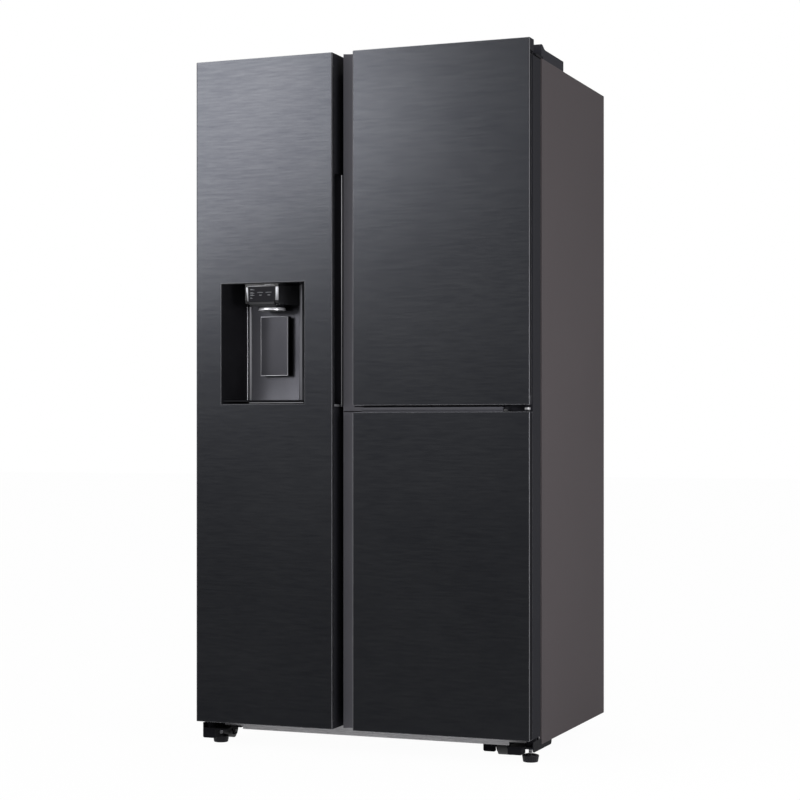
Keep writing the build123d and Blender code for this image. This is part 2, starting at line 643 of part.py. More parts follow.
    with BuildPart() as hinge_cover:
        with BuildSketch(Plane.YZ.offset(side * half_width)):
            with BuildLine():
                back_of_lip = (cover_y[0] + 37.0, case_top + cover_height)
                front_bottom = (cover_y[0], case_top)
                Line(front_bottom, (cover_y[0], case_top + cover_lip_height - 3.0))
                Line((cover_y[0], case_top + cover_lip_height - 3.0),
                     (cover_y[0] + 3.0, case_top + cover_lip_height))
                Spline((cover_y[0] + 3.0, case_top + cover_lip_height), back_of_lip,
                       tangents=((1, 0), (1, 0)))
                Line(back_of_lip, (cover_y[1], case_top + cover_height))
                Line((cover_y[1], case_top + cover_height), (cover_y[1], case_top))
                Line((cover_y[1], case_top), front_bottom)
            make_face()
        extrude(amount=-side * cover_width)
        inner_end = side * (half_width - cover_width)
        inner_edges = hinge_cover.faces().sort_by(Axis.X)[0 if side > 0 else -1].edges()
        fillet(inner_edges.group_by(Axis.Z)[-1], 6.0)
        block(sides(side, half_width - cover_width + cover_wall, half_width - cover_wall),
              (case_front_y + 6.0, cover_y[1] - cover_wall),
              (case_top, case_top + cover_height - cover_wall), mode=Mode.SUBTRACT)
        block(sides(side, pin_x - arm_half_width - 1.0, pin_x + arm_half_width + 1.0),
              (cover_y[0], case_front_y + 8.0), (case_top, case_top + hinge_plate + 1.0),
              mode=Mode.SUBTRACT)
        block(sides(side, half_width - cover_wall, half_width - sheet),
              (cover_y[0], case_front_y + 22.0), (case_top, case_top + hinge_plate + 1.0),
              mode=Mode.SUBTRACT)
    hinge_cover.part.label = f"hinge_cover_{name}"
    export_step(hinge_cover.part, f"parts/hinge_cover_{name}.step")

# one arm on each side of the cabinet's top, with the pin pointing down into the door
notch_z = door_top - notch_depth
with BuildPart() as upper_hinges:
    for side in (-1, 1):
        with BuildSketch(Plane.XY.offset(case_top)):
            with Locations((side * pin_x, pin_y)):
                Circle(arm_half_width)
            rectangle(sides(side, pin_x - arm_half_width, pin_x + arm_half_width),
                      (pin_y, case_front_y + 20.0))
            rectangle(sides(side, half_width - cover_width + 12.0, pin_x + arm_half_width - 4.0),
                      (case_front_y + 8.0, case_front_y + 120.0))
        extrude(amount=hinge_plate)
        rod(side * pin_x, pin_y, (notch_z - 26.0, case_top + 1.0), pin_radius)
upper_hinges.part.label = "upper_hinges"
export_step(upper_hinges.part, "parts/upper_hinges.step")


# ------------------------------------------------------------------ door helpers
def seal_outline(x, hinge_side):
    """Outer rectangle of a full-height door's gasket, in X and Z."""
    hinge_edge = hinge_side * (pin_x - 6.0)
    free_edge = (x[1] + gasket_width) if hinge_side < 0 else (x[0] - gasket_width)
    return ((min(hinge_edge, free_edge), max(hinge_edge, free_edge)),
            (case_bottom + gasket_end_gap, case_top - 13.0))


def bin_tray(x, y, z):
    """An open door shelf in the open part: rounded front corners and a sloping rim."""
    block(x, y, z)
    block(inset(x, bin_wall), inset(y, bin_wall), (z[0] + bin_wall, z[1] + 1.0), mode=Mode.SUBTRACT)


def rectangular_ring(x, z, wall):
    """A rectangular frame in the open sketch."""
    rectangle(x, z)
    rectangle(inset(x, wall), inset(z, wall), mode=Mode.SUBTRACT)


# ------------------------------------------------------------------ freezer door
left, right = freezer_door_x
niche_hole = (niche_x[0] - niche_wall, niche_x[1] + niche_wall)
niche_hole_z = inset(niche_z, -niche_wall)
cap_z = (door_top - cap_height, door_top)
pocket_x = (right - pocket_depth, right)
grip_strip_y = pocket_y[0] - pocket_wall
notch = ((-half_width - 1.0, -notch_x), (frame_y - 3.0, door_back_y + door_liner + 1.0))

with BuildPart() as freezer_door_skin:
    with BuildSketch(Plane.XY.offset(door_bottom)):
        rectangle(freezer_door_x, (front_y, frame_y))
    extrude(amount=door_height)
    fillet(freezer_door_skin.edges().filter_by(Axis.Z).group_by(Axis.Y)[0], edge_radius)
    block((left + sheet, right - sheet), (front_y + sheet, frame_y + 1.0),
          (door_bottom - 1.0, door_top + 1.0), mode=Mode.SUBTRACT)
    block((right - 2 * sheet, right), (grip_strip_y, frame_y), (door_bottom, door_top), mode=Mode.SUBTRACT)
    block((left, right), (front_y + edge_radius + sheet, frame_y), cap_z, mode=Mode.SUBTRACT)
    block((left, right), (front_y + edge_radius + sheet, frame_y),
          (door_bottom, door_bottom + bottom_cap_height), mode=Mode.SUBTRACT)
    with BuildSketch(facing_front(front_y)):
        rectangle(niche_hole, niche_hole_z)
    extrude(amount=-2 * sheet, mode=Mode.SUBTRACT)
freezer_door_skin.part.label = "freezer_door_skin"
export_step(freezer_door_skin.part, "parts/freezer_door_skin.step")

core_front_y = front_y + sheet
fold_y = front_y + edge_radius + sheet
with BuildPart() as freezer_door_caps:
    for z in (cap_z, (door_bottom, door_bottom + bottom_cap_height)):
        with BuildSketch(Plane.XY.offset(z[0])):
            rectangle((left, right), (fold_y, door_back_y))
            rectangle((left + sheet, right - sheet), (core_front_y, fold_y))
        extrude(amount=z[1] - z[0])
    block(*notch, (notch_z, door_top + 1.0), mode=Mode.SUBTRACT)
    rod(-pin_x, pin_y, (door_bottom - 1.0, door_bottom + bottom_cap_height), pin_radius + pin_gap,
        mode=Mode.SUBTRACT)
freezer_door_caps.part.label = "freezer_door_caps"
export_step(freezer_door_caps.part, "parts/freezer_door_caps.step")

core_z = (door_bottom + bottom_cap_height, cap_z[0])
with BuildPart() as freezer_door_core:
    with BuildSketch(Plane.XY.offset(core_z[0])):
        Polygon((left + sheet, core_front_y), (right - sheet, core_front_y),
                (right - sheet, grip_strip_y), (right - side_moulding, grip_strip_y),
                (right - side_moulding, door_back_y), (left, door_back_y),
                (left, frame_y), (left + sheet, frame_y), align=None)
    extrude(amount=core_z[1] - core_z[0])
    block(inset(niche_hole, -1.0), (front_y, door_back_y), inset(niche_hole_z, -1.0), mode=Mode.SUBTRACT)
    block((pocket_x[0] - pocket_wall, right), (grip_strip_y, pocket_y[1] + pocket_wall),
          inset(pocket_z, -pocket_wall), mode=Mode.SUBTRACT)
    block(*notch, (notch_z, door_top), mode=Mode.SUBTRACT)
    rod(-pin_x, pin_y, (notch_z - 28.0, notch_z + 1.0), pin_radius + pin_gap, mode=Mode.SUBTRACT)
freezer_door_core.part.label = "freezer_door_core"
export_step(freezer_door_core.part, "parts/freezer_door_core.step")

# four rim bars sit on the liner's sheet, and behind the dispenser an insulated block fills them
niche_block_z = (niche_z[0] - 32.0, niche_z[1] + 30.0)
upper_pocket_z = (niche_block_z[1], rim_z[1] - rim_wall)
clip_gap = 0.3                 # between pieces that clip on each other
with BuildPart() as freezer_door_liner:
    block(inset(freezer_door_x, 4.0), (door_back_y, door_liner_y), inset((door_bottom, door_top), 4.0))
    block(*notch, (notch_z, door_top), mode=Mode.SUBTRACT)
    rim_depth_y = (door_liner_y + clip_gap, rim_y)
    for z in ((rim_z[0], rim_z[0] + rim_wall), (rim_z[1] - rim_wall, rim_z[1])):
        block(freezer_rim_x, rim_depth_y, z)
    rim_ends = freezer_door_liner.edges().filter_by(Axis.Y).filter_by_position(
        Axis.Y, door_liner_y + 1.0, rim_y).group_by(Axis.Z)
    fillet(rim_ends[0] + rim_ends[-1], rim_corner)
    for x in ((freezer_rim_x[0], freezer_rim_x[0] + rim_wall),
              (freezer_rim_x[1] - rim_wall, freezer_rim_x[1])):
        block(x, rim_depth_y, inset(rim_z, rim_wall + clip_gap))
    block(inset(freezer_rim_x, rim_wall + clip_gap), rim_depth_y, niche_block_z)
freezer_door_liner.part.label = "freezer_door_liner"
export_step(freezer_door_liner.part, "parts/freezer_door_liner.step")

seal_gap_y = case_front_y - free_gap
seal_x, seal_z = seal_outline(freezer_x, -1)
seal_step = (gasket_width - gasket_bulb) / 2
with BuildPart() as freezer_door_gasket:
    with BuildSketch(facing_front(door_liner_y)):
        rectangular_ring(seal_x, seal_z, gasket_width)
    extrude(amount=-gasket_base)
    with BuildSketch(facing_front(door_liner_y + gasket_base)):
        rectangular_ring(inset(seal_x, seal_step), inset(seal_z, seal_step), gasket_bulb)
    extrude(amount=-(seal_gap_y - door_liner_y - gasket_base))
    fillet(freezer_door_gasket.faces().sort_by(Axis.Y)[-1].edges(), 2.0)
freezer_door_gasket.part.label = "freezer_door_gasket"
export_step(freezer_door_gasket.part, "parts/freezer_door_gasket.step")

with BuildPart() as grip_space:
    with BuildSketch(Plane.YZ.offset(pocket_x[0])):
        rectangle(pocket_y, pocket_z)
    extrude(amount=pocket_depth + 1.0)
    fillet(grip_space.faces().sort_by(Axis.X)[0].edges(), 8.0)
with BuildPart() as handle_pocket:
    block((right - side_moulding, right), (grip_strip_y, door_back_y), core_z)
    with BuildSketch(Plane.YZ.offset(pocket_x[0] - pocket_wall)):
        rectangle((grip_strip_y, pocket_y[1] + pocket_wall), inset(pocket_z, -pocket_wall))
    extrude(amount=pocket_depth - side_moulding + pocket_wall + 1.0)
    add(grip_space.part, mode=Mode.SUBTRACT)
handle_pocket.part.label = "handle_pocket"
export_step(handle_pocket.part, "parts/handle_pocket.step")

trim_y = (pocket_y[1] + 1.0, pocket_y[1] + 1.0 + trim_width)
with BuildPart() as handle_trim:
    with BuildSketch(Plane.YZ.offset(right)):
        rectangle(trim_y, (pocket_z[0] - 1.0 - trim_width, pocket_z[1] + 1.0))
        rectangle((pocket_y[0], trim_y[1]), (pocket_z[0] - 1.0 - trim_width, pocket_z[0] - 1.0))
    extrude(amount=trim_wall)
handle_trim.part.label = "handle_trim"
export_step(handle_trim.part, "parts/handle_trim.step")

# ------------------------------------------------------------------ dispenser
floor_back_z = niche_z[0] + niche_floor_rise
ear_wall = 5.0                 # two ears behind the paddle carry its pins
ear_inset = 5.0
pivot_y = paddle_y + 12.0
pivot_z = paddle_top - 4.0
paddle_x = (head_x + 7.0 - paddle_size[0] / 2, head_x + 7.0 + paddle_size[0] / 2)
with BuildPart() as niche_space:
    with BuildSketch(facing_front(front_y)):
        rectangle(niche_x, niche_z)
    with BuildSketch(facing_front(niche_back_y)):
        rectangle(niche_back_x, (floor_back_z, niche_z[1]))
    loft()
with BuildPart() as dispenser_housing:
    with BuildSketch(facing_front(front_y)):
        rectangle(niche_hole, niche_hole_z)
    with BuildSketch(facing_front(niche_back_y + niche_wall)):
        rectangle(inset(niche_back_x, -niche_wall), (floor_back_z - niche_wall, niche_z[1] + niche_wall))
    loft()
    add(niche_space.part, mode=Mode.SUBTRACT)
    for ear in ((paddle_x[0] + ear_inset, paddle_x[0] + ear_inset + ear_wall),
                (paddle_x[1] - ear_inset - ear_wall, paddle_x[1] - ear_inset)):
        block(ear, (pivot_y - 6.0, niche_back_y + 1.0), (pivot_z - 6.0, pivot_z + 6.0))
        cross_rod((ear[0] - 1.0, ear[1] + 1.0), pivot_y, pivot_z, paddle_pin + pin_gap, mode=Mode.SUBTRACT)
dispenser_housing.part.label = "dispenser_housing"
export_step(dispenser_housing.part, "parts/dispenser_housing.step")

head_z = (niche_z[1] - head_height, niche_z[1])
with BuildPart() as dispenser_head:
    half = head_width / 2
    with BuildSketch(Plane.XY.offset(head_z[0])):
        with BuildLine():
            Line((head_x - half, head_front_y), (head_x + half, head_front_y))
            Spline((head_x + half, head_front_y), (head_x + half + 6.0, head_front_y + 45.0),
                   (niche_back_x[1] - 1.0, niche_back_y - 1.0), tangents=((0, 1), (1, 1)))
            Line((niche_back_x[1] - 1.0, niche_back_y - 1.0), (niche_back_x[1] - 1.0, niche_back_y))
            Line((niche_back_x[1] - 1.0, niche_back_y), (head_x - half - 8.0, niche_back_y))
            Line((head_x - half - 8.0, niche_back_y), (head_x - half, head_front_y))
        make_face()
    extrude(amount=head_height)
    fillet(dispenser_head.edges().group_by(Axis.Z)[0].sort_by(Axis.Y)[0], 12.0)
dispenser_head.part.label = "dispenser_head"
export_step(dispenser_head.part, "parts/dispenser_head.step")

display_z = niche_z[1] - 8.5
with BuildPart() as dispenser_display:
    with BuildSketch(facing_front(head_front_y)):
        rectangle((head_x - display_size[0] / 2, head_x + display_size[0] / 2),
                  (display_z - display_size[1], display_z))
    extrude(amount=1.0)
dispenser_display.part.label = "dispenser_display"
export_step(dispenser_display.part, "parts/dispenser_display.step")

with BuildPart() as dispenser_chute:
    with BuildSketch(Plane.XY.offset(head_z[0])):
        with Locations((head_x + 7.0, chute_y)):
            Circle(chute_radius - 4.0)
            Circle(chute_radius - 4.0 - chute_wall, mode=Mode.SUBTRACT)
    extrude(amount=-chute_height)
    with BuildSketch(Plane.XY.offset(head_z[0] - chute_height)):
        with Locations((head_x + 7.0, chute_y)):
            Circle(chute_radius)
            Circle(chute_radius - 4.0 - chute_wall, mode=Mode.SUBTRACT)
    extrude(amount=4.0)
dispenser_chute.part.label = "dispenser_chute"
export_step(dispenser_chute.part, "parts/dispenser_chute.step")

with BuildPart() as dispenser_paddle:
    with BuildSketch(facing_front(paddle_y)):
        with Locations(((paddle_x[0] + paddle_x[1]) / 2, paddle_top - paddle_size[1] / 2)):
            RectangleRounded(*paddle_size, 4.0)
    extrude(amount=-paddle_wall)
    chamfer(dispenser_paddle.faces().sort_by(Axis.Y)[0].edges(), 1.2)
    hub_x = inset(paddle_x, ear_inset + ear_wall + 1.0)
    block(hub_x, (paddle_y + paddle_wall - 1.0, pivot_y), (pivot_z - 5.0, pivot_z + 3.0))
    cross_rod(hub_x, pivot_y, pivot_z, 5.0)
    cross_rod(inset(paddle_x, ear_inset), pivot_y, pivot_z, paddle_pin)
dispenser_paddle.part.label = "dispenser_paddle"
export_step(dispenser_paddle.part, "parts/dispenser_paddle.step")

# the tray follows the taper of the niche and lies on its floor
tray_y = (front_y + 4.0, front_y + 66.0)
taper_left = (niche_back_x[0] - niche_x[0]) / (niche_back_y - front_y)
taper_right = (niche_x[1] - niche_back_x[1]) / (niche_back_y - front_y)
floor_slope = niche_floor_rise / (niche_back_y - front_y)
tray_left = [niche_x[0] + 1.0 + taper_left * (y - front_y) for y in tray_y]
tray_right = [niche_x[1] - 1.0 - taper_right * (y - front_y) for y in tray_y]
tray_z = niche_z[0] + floor_slope * (tray_y[1] - front_y)
with BuildPart() as drip_tray:
    with BuildSketch(Plane.XY.offset(tray_z)):
        Polygon((tray_left[0], tray_y[0]), (tray_right[0], tray_y[0]), (tray_right[1], tray_y[1]),
                (tray_left[1], tray_y[1]), align=None)
        with Locations(((tray_left[1] + tray_right[1]) / 2, (tray_y[0] + tray_y[1]) / 2)):
            with GridLocations(11.0, 0, 13, 1):
                Rectangle(4.0, 46.0, mode=Mode.SUBTRACT)
    extrude(amount=4.0)
drip_tray.part.label = "drip_tray"
export_step(drip_tray.part, "parts/drip_tray.step")

# ------------------------------------------------------------------ inside the freezer door
pocket_inner_x = inset(freezer_rim_x, rim_wall)
tray_depth_y = (door_liner_y, bin_y)
lower_bin_z = [rim_z[0] + rim_wall + 9.0 + index * 237.0 for index in range(3)]
freezer_bin_z = (*lower_bin_z, upper_pocket_z[1] - 94.0)
with BuildPart() as freezer_door_bins:
    for z in freezer_bin_z:
        bin_tray(pocket_inner_x, tray_depth_y, (z, z + min(bin_height, upper_pocket_z[1] - z)))
freezer_door_bins.part.label = "freezer_door_bins"
export_step(freezer_door_bins.part, "parts/freezer_door_bins.step")

ice_maker_z = (upper_pocket_z[0] + 10.0, freezer_bin_z[-1] - 25.0)
with BuildPart() as ice_maker:
    with BuildSketch(Plane.YZ.offset(pocket_inner_x[0])):
        with BuildLine():
            Polyline((door_liner_y, ice_maker_z[0]), (bin_y - 22.0, ice_maker_z[0]),
                     (bin_y - 4.0, ice_maker_z[0] + 40.0), (bin_y - 4.0, ice_maker_z[1] - 30.0),
                     (bin_y - 20.0, ice_maker_z[1]), (door_liner_y, ice_maker_z[1]), close=True)
        make_face()
    extrude(amount=pocket_inner_x[1] - pocket_inner_x[0])
    fillet(ice_maker.faces().filter_by(Axis.Y).sort_by(Axis.Y)[-1].edges().filter_by(Axis.Z), 8.0)
    block(inset(pocket_inner_x, 40.0), (bin_y - 14.0, bin_y),
          (ice_maker_z[0] + 70.0, ice_maker_z[0] + 92.0), mode=Mode.SUBTRACT)
ice_maker.part.label = "ice_maker"
export_step(ice_maker.part, "parts/ice_maker.step")

# ------------------------------------------------------------------ fridge door
body_top = door_top - notch_depth
window_x = (steel_x + 43.0, fridge_rim_x[1] - rim_wall)
window_z = (showcase_bottom + 34.5, body_top - 81.0)
channel_x = steel_x + 21.0      # the grip channel reaches this far behind the steel edge
channel_y = (front_y + 12.0, front_y + 40.0)
with BuildPart() as fridge_door_core:
    with BuildSketch(Plane.XY.offset(door_bottom)):
        Polygon((steel_x + sheet, core_front_y), (half_width - sheet, core_front_y),
                (half_width - sheet, frame_y), (half_width, frame_y), (half_width, door_back_y),
                (channel_x, door_back_y), (channel_x, channel_y[0]), (steel_x + sheet, channel_y[0]),
                align=None)
    extrude(amount=split_z - sheet - door_bottom)
    with BuildSketch(Plane.XY.offset(split_z - sheet)):
        rectangle((channel_x, half_width), (frame_y, door_back_y))
    extrude(amount=body_top - split_z + sheet)
    block(window_x, (frame_y - 1.0, door_back_y + 1.0), window_z, mode=Mode.SUBTRACT)
    rod(pin_x, pin_y, (body_top - 28.0, body_top + 1.0), pin_radius + pin_gap, mode=Mode.SUBTRACT)
    rod(pin_x, pin_y, (door_bottom - 1.0, door_bottom + bottom_cap_height), pin_radius + pin_gap,
        mode=Mode.SUBTRACT)
fridge_door_core.part.label = "fridge_door_core"
export_step(fridge_door_core.part, "parts/fridge_door_core.step")

with BuildPart() as fridge_door_skin:
    with BuildSketch(Plane.XY.offset(door_bottom)):
        rectangle((steel_x, half_width), (front_y, frame_y))
    extrude(amount=split_z - door_bottom)
    fillet(fridge_door_skin.edges().filter_by(Axis.Z).group_by(Axis.Y)[0], edge_radius)
    block((steel_x + sheet, half_width - sheet), (core_front_y, frame_y + 1.0),
          (door_bottom - 1.0, split_z - sheet), mode=Mode.SUBTRACT)
    block((steel_x - 1.0, steel_x + 2 * sheet), (channel_y[0], frame_y + 1.0),
          (door_bottom - 1.0, split_z + 1.0), mode=Mode.SUBTRACT)
    block((steel_x - 1.0, channel_x), (channel_y[0], frame_y + 1.0),
          (split_z - 2 * sheet, split_z + 1.0), mode=Mode.SUBTRACT)
fridge_door_skin.part.label = "fridge_door_skin"
export_step(fridge_door_skin.part, "parts/fridge_door_skin.step")

with BuildPart() as fridge_door_moulding:
    with BuildSketch(Plane.XY.offset(door_bottom)):
        with BuildLine():
            Line((channel_x, door_back_y), (grip_x, door_back_y))
            Line((grip_x, door_back_y), (grip_x, channel_y[1] - 4.0))
            ThreePointArc((grip_x, channel_y[1] - 4.0), ((grip_x + channel_x) / 2, channel_y[1] + 4.0),
                          (channel_x, channel_y[1] - 2.0))
            Line((channel_x, channel_y[1] - 2.0), (channel_x, door_back_y))
        make_face()
    extrude(amount=door_height)
    block((steel_x, channel_x + 1.0), (front_y, door_back_y + 1.0), (body_top, door_top + 1.0),
          mode=Mode.SUBTRACT)
fridge_door_moulding.part.label = "fridge_door_moulding"
export_step(fridge_door_moulding.part, "parts/fridge_door_moulding.step")

door_pocket_x = inset(fridge_rim_x, rim_wall)
with BuildPart() as fridge_door_liner:
    block((grip_x + 4.0, half_width - 4.0), (door_back_y, door_liner_y),
          (door_bottom + 4.0, body_top - 4.0))
    with BuildSketch(facing_front(door_liner_y)):
        rectangle(fridge_rim_x, rim_z)
    extrude(amount=-(rim_y - door_liner_y))
    outer_corners = fridge_door_liner.edges().filter_by(Axis.Y).filter_by_position(
        Axis.Y, door_liner_y + 1.0, rim_y)
    fillet(outer_corners, rim_corner)
    block(door_pocket_x, (door_liner_y, rim_y + 1.0), (rim_z[0] + rim_wall, split_z), mode=Mode.SUBTRACT)
    block(window_x, (door_back_y - 1.0, rim_y + 1.0), window_z, mode=Mode.SUBTRACT)
fridge_door_liner.part.label = "fridge_door_liner"
export_step(fridge_door_liner.part, "parts/fridge_door_liner.step")

seal_x, seal_z = seal_outline(fridge_x, 1)
with BuildPart() as fridge_door_gasket:
    with BuildSketch(facing_front(door_liner_y)):
        rectangular_ring(seal_x, seal_z, gasket_width)
    extrude(amount=-gasket_base)
    with BuildSketch(facing_front(door_liner_y + gasket_base)):
        rectangular_ring(inset(seal_x, seal_step), inset(seal_z, seal_step), gasket_bulb)
    extrude(amount=-(seal_gap_y - door_liner_y - gasket_base))
    fillet(fridge_door_gasket.faces().sort_by(Axis.Y)[-1].edges(), 2.0)
fridge_door_gasket.part.label = "fridge_door_gasket"
export_step(fridge_door_gasket.part, "parts/fridge_door_gasket.step")

plug_y = slab_back_y + 36.0
showcase_bin_pitch = (window_z[1] - window_z[0]) / 3
showcase_bin_z = [window_z[0] + index * showcase_bin_pitch for index in range(3)]
with BuildPart() as fridge_door_bins:
    for z in lower_bin_z:
        bin_tray(door_pocket_x, tray_depth_y, (z, z + bin_height))
    for z in showcase_bin_z:
        bin_tray(window_x, (plug_y + 4.0, bin_y), (z, z + bin_height))
fridge_door_bins.part.label = "fridge_door_bins"
export_step(fridge_door_bins.part, "parts/fridge_door_bins.step")

# ------------------------------------------------------------------ showcase door
slab_z = (showcase_bottom, door_top)
showcase_cap_z = (door_top - showcase_cap_height, door_top)
arm_slot_z = (body_top - 1.0, showcase_cap_z[0])
with BuildPart() as showcase_door_skin:
    with BuildSketch(Plane.XY.offset(slab_z[0])):
        rectangle((steel_x, half_width), (front_y, slab_back_y))
    extrude(amount=slab_z[1] - slab_z[0])
    fillet(showcase_door_skin.edges().filter_by(Axis.Z).group_by(Axis.Y)[0], edge_radius)
    block((steel_x + sheet, half_width - sheet), (core_front_y, slab_back_y + 1.0),
          (slab_z[0] - 1.0, slab_z[1] + 1.0), mode=Mode.SUBTRACT)
    block((steel_x - 1.0, half_width + 1.0), (fold_y, slab_back_y + 1.0),
          (showcase_cap_z[0], door_top + 1.0), mode=Mode.SUBTRACT)
    block((steel_x - 1.0, half_width + 1.0), (fold_y, slab_back_y + 1.0),
          (slab_z[0] - 1.0, slab_z[0] + bottom_cap_height), mode=Mode.SUBTRACT)
    block((half_width - 2 * sheet, half_width + 1.0), (fold_y, slab_back_y + 1.0), arm_slot_z,
          mode=Mode.SUBTRACT)
showcase_door_skin.part.label = "showcase_door_skin"
export_step(showcase_door_skin.part, "parts/showcase_door_skin.step")

with BuildPart() as showcase_door_caps:
    for z, back in ((showcase_cap_z, front_y + showcase_cap_depth),
                    ((slab_z[0], slab_z[0] + bottom_cap_height), slab_back_y)):
        with BuildSketch(Plane.XY.offset(z[0])):
            rectangle((steel_x, half_width), (fold_y, back))
            rectangle((steel_x + sheet, half_width - sheet), (core_front_y, fold_y))
        extrude(amount=z[1] - z[0])
    rod(showcase_pin_x, showcase_pin_y, (slab_z[0] - 1.0, slab_z[0] + 16.0),
        showcase_pin_radius + pin_gap, mode=Mode.SUBTRACT)
    rod(showcase_pin_x, showcase_pin_y, (showcase_cap_z[0] - 1.0, showcase_cap_z[0] + 16.0),
        showcase_pin_radius + pin_gap, mode=Mode.SUBTRACT)
showcase_door_caps.part.label = "showcase_door_caps"
export_step(showcase_door_caps.part, "parts/showcase_door_caps.step")

plug_gap = 5.0
with BuildPart() as showcase_door_core:
    block((steel_x + sheet, half_width - sheet), (core_front_y, slab_back_y),
          (slab_z[0] + bottom_cap_height, showcase_cap_z[0]))
    block((showcase_pin_x - 20.0, half_width), (core_front_y, slab_back_y + 1.0), arm_slot_z,
          mode=Mode.SUBTRACT)
    with BuildSketch(facing_front(slab_back_y)):
        rectangle(inset(window_x, plug_gap), inset(window_z, plug_gap))
    extrude(amount=-(plug_y - slab_back_y))
    fillet(showcase_door_core.faces().sort_by(Axis.Y)[-1].edges(), 8.0)
showcase_door_core.part.label = "showcase_door_core"
export_step(showcase_door_core.part, "parts/showcase_door_core.step")

with BuildPart() as showcase_door_gasket:
    with BuildSketch(facing_front(slab_back_y)):
        rectangular_ring((channel_x + 2.0, showcase_pin_x - 8.0),
                         (window_z[0] - 22.0, body_top - 9.0), gasket_width)
    extrude(amount=-(showcase_seal_gap - free_gap))
    fillet(showcase_door_gasket.faces().sort_by(Axis.Y)[-1].edges(), 2.0)
showcase_door_gasket.part.label = "showcase_door_gasket"
export_step(showcase_door_gasket.part, "parts/showcase_door_gasket.step")

arm_half = 4.5
with BuildPart() as showcase_hinge:
    # lower plate on the split, its pin pointing up
    block((showcase_pin_x - 22.0, half_width - 4.0), (showcase_pin_y - 6.0, frame_y),
          (split_z, split_z + 4.0))
    rod(showcase_pin_x, showcase_pin_y, (split_z, showcase_bottom - free_gap), 6.0)
    rod(showcase_pin_x, showcase_pin_y, (split_z, showcase_bottom + 14.0), showcase_pin_radius)
    # upper arm over the body of the fridge door, with a light block behind it
    with BuildSketch(Plane.XY.offset(body_top)):
        with Locations((showcase_pin_x, showcase_pin_y)):
            Circle(arm_half)
        rectangle((showcase_pin_x - arm_half, showcase_pin_x + arm_half),
                  (showcase_pin_y, frame_y + 4.0))
    extrude(amount=showcase_cap_z[0] - free_gap - body_top - 3.0)
    block((showcase_pin_x - 30.0, half_width - 2.0), (frame_y + 1.0, frame_y + 8.0),
          (body_top, body_top + 6.0))
    rod(showcase_pin_x, showcase_pin_y, (body_top + 1.0, showcase_cap_z[0] + 14.0), showcase_pin_radius)
showcase_hinge.part.label = "showcase_hinge"
export_step(showcase_hinge.part, "parts/showcase_hinge.step")
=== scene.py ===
"""Looks of a side-by-side refrigerator with a dispenser and a door in its fridge door.

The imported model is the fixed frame: every place comes from its nodes' boxes. The finishes are node
materials, the studio is a pale floor with soft light, and each sub-assembly is a class that builds
and dresses the small pieces that belong to it. Forms are made in millimetres, the scene in metres.
"""
from __future__ import annotations

import json
import logging
import math
from dataclasses import dataclass
from enum import Enum

import bmesh
import bpy
from mathutils import Color, Matrix, Quaternion, Vector

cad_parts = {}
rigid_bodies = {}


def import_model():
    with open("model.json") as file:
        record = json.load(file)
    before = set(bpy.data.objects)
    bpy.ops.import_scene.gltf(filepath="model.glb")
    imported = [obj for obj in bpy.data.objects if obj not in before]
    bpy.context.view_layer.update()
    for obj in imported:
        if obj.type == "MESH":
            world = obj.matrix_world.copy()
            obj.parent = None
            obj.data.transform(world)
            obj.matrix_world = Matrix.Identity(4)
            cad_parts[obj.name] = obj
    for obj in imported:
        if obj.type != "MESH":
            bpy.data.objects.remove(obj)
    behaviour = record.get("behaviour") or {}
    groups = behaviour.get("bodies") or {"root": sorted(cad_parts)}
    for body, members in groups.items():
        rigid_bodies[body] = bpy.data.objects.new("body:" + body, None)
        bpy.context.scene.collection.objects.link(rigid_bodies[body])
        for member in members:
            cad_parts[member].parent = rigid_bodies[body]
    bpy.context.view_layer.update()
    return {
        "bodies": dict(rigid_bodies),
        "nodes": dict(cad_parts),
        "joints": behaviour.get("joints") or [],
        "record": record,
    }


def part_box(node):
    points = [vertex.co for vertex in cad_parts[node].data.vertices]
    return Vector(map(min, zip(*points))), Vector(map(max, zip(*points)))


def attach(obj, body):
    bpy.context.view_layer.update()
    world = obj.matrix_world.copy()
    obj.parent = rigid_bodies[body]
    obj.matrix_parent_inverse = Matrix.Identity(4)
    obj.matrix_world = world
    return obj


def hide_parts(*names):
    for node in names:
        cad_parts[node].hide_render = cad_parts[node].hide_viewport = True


log = logging.getLogger("refrigerator")
MM = 0.001
Colour = tuple[float, float, float]
Point = tuple[float, float, float]
Span = tuple[float, float]
Node = bpy.types.Node
Object = bpy.types.Object
Socket = bpy.types.NodeSocket
Tree = bpy.types.NodeTree
Value = object                     # a socket, a number or a colour


def linear(colour: Colour) -> tuple[float, ...]:
    """The scene's linear colour, with an alpha of 1, of a display colour from 0 to 255."""
    return (*Color([part / 255 for part in colour]).from_srgb_to_scene_linear(), 1.0)


def add_node(tree: Tree, kind: str, inputs: dict[str | int, Value] | None = None,
             **settings: object) -> Node:
    """Adds a shader node.

    Args:
        tree: The node tree that it goes into.
        kind: The node's type without its ShaderNode prefix.
        inputs: What its inputs get, by name or place: a socket is linked, a value is set.
        **settings: Attributes of the node.

    Returns:
        The node.
    """
    made = tree.nodes.new(f"ShaderNode{kind}")
    for key, value in settings.items():
        setattr(made, key, value)
    for key, value in (inputs or {}).items():
        if isinstance(value, Socket):
            tree.links.new(value, made.inputs[key])
        else:
            made.inputs[key].default_value = value
    return made


def put(name: str, data: bpy.types.ID) -> Object:
    """Adds an object to the scene.

    Args:
        name: Name of the object.
        data: Its mesh, curve, light or camera.

    Returns:
        The object.
    """
    made = bpy.data.objects.new(name, data)
    bpy.context.scene.collection.objects.link(made)
    return made


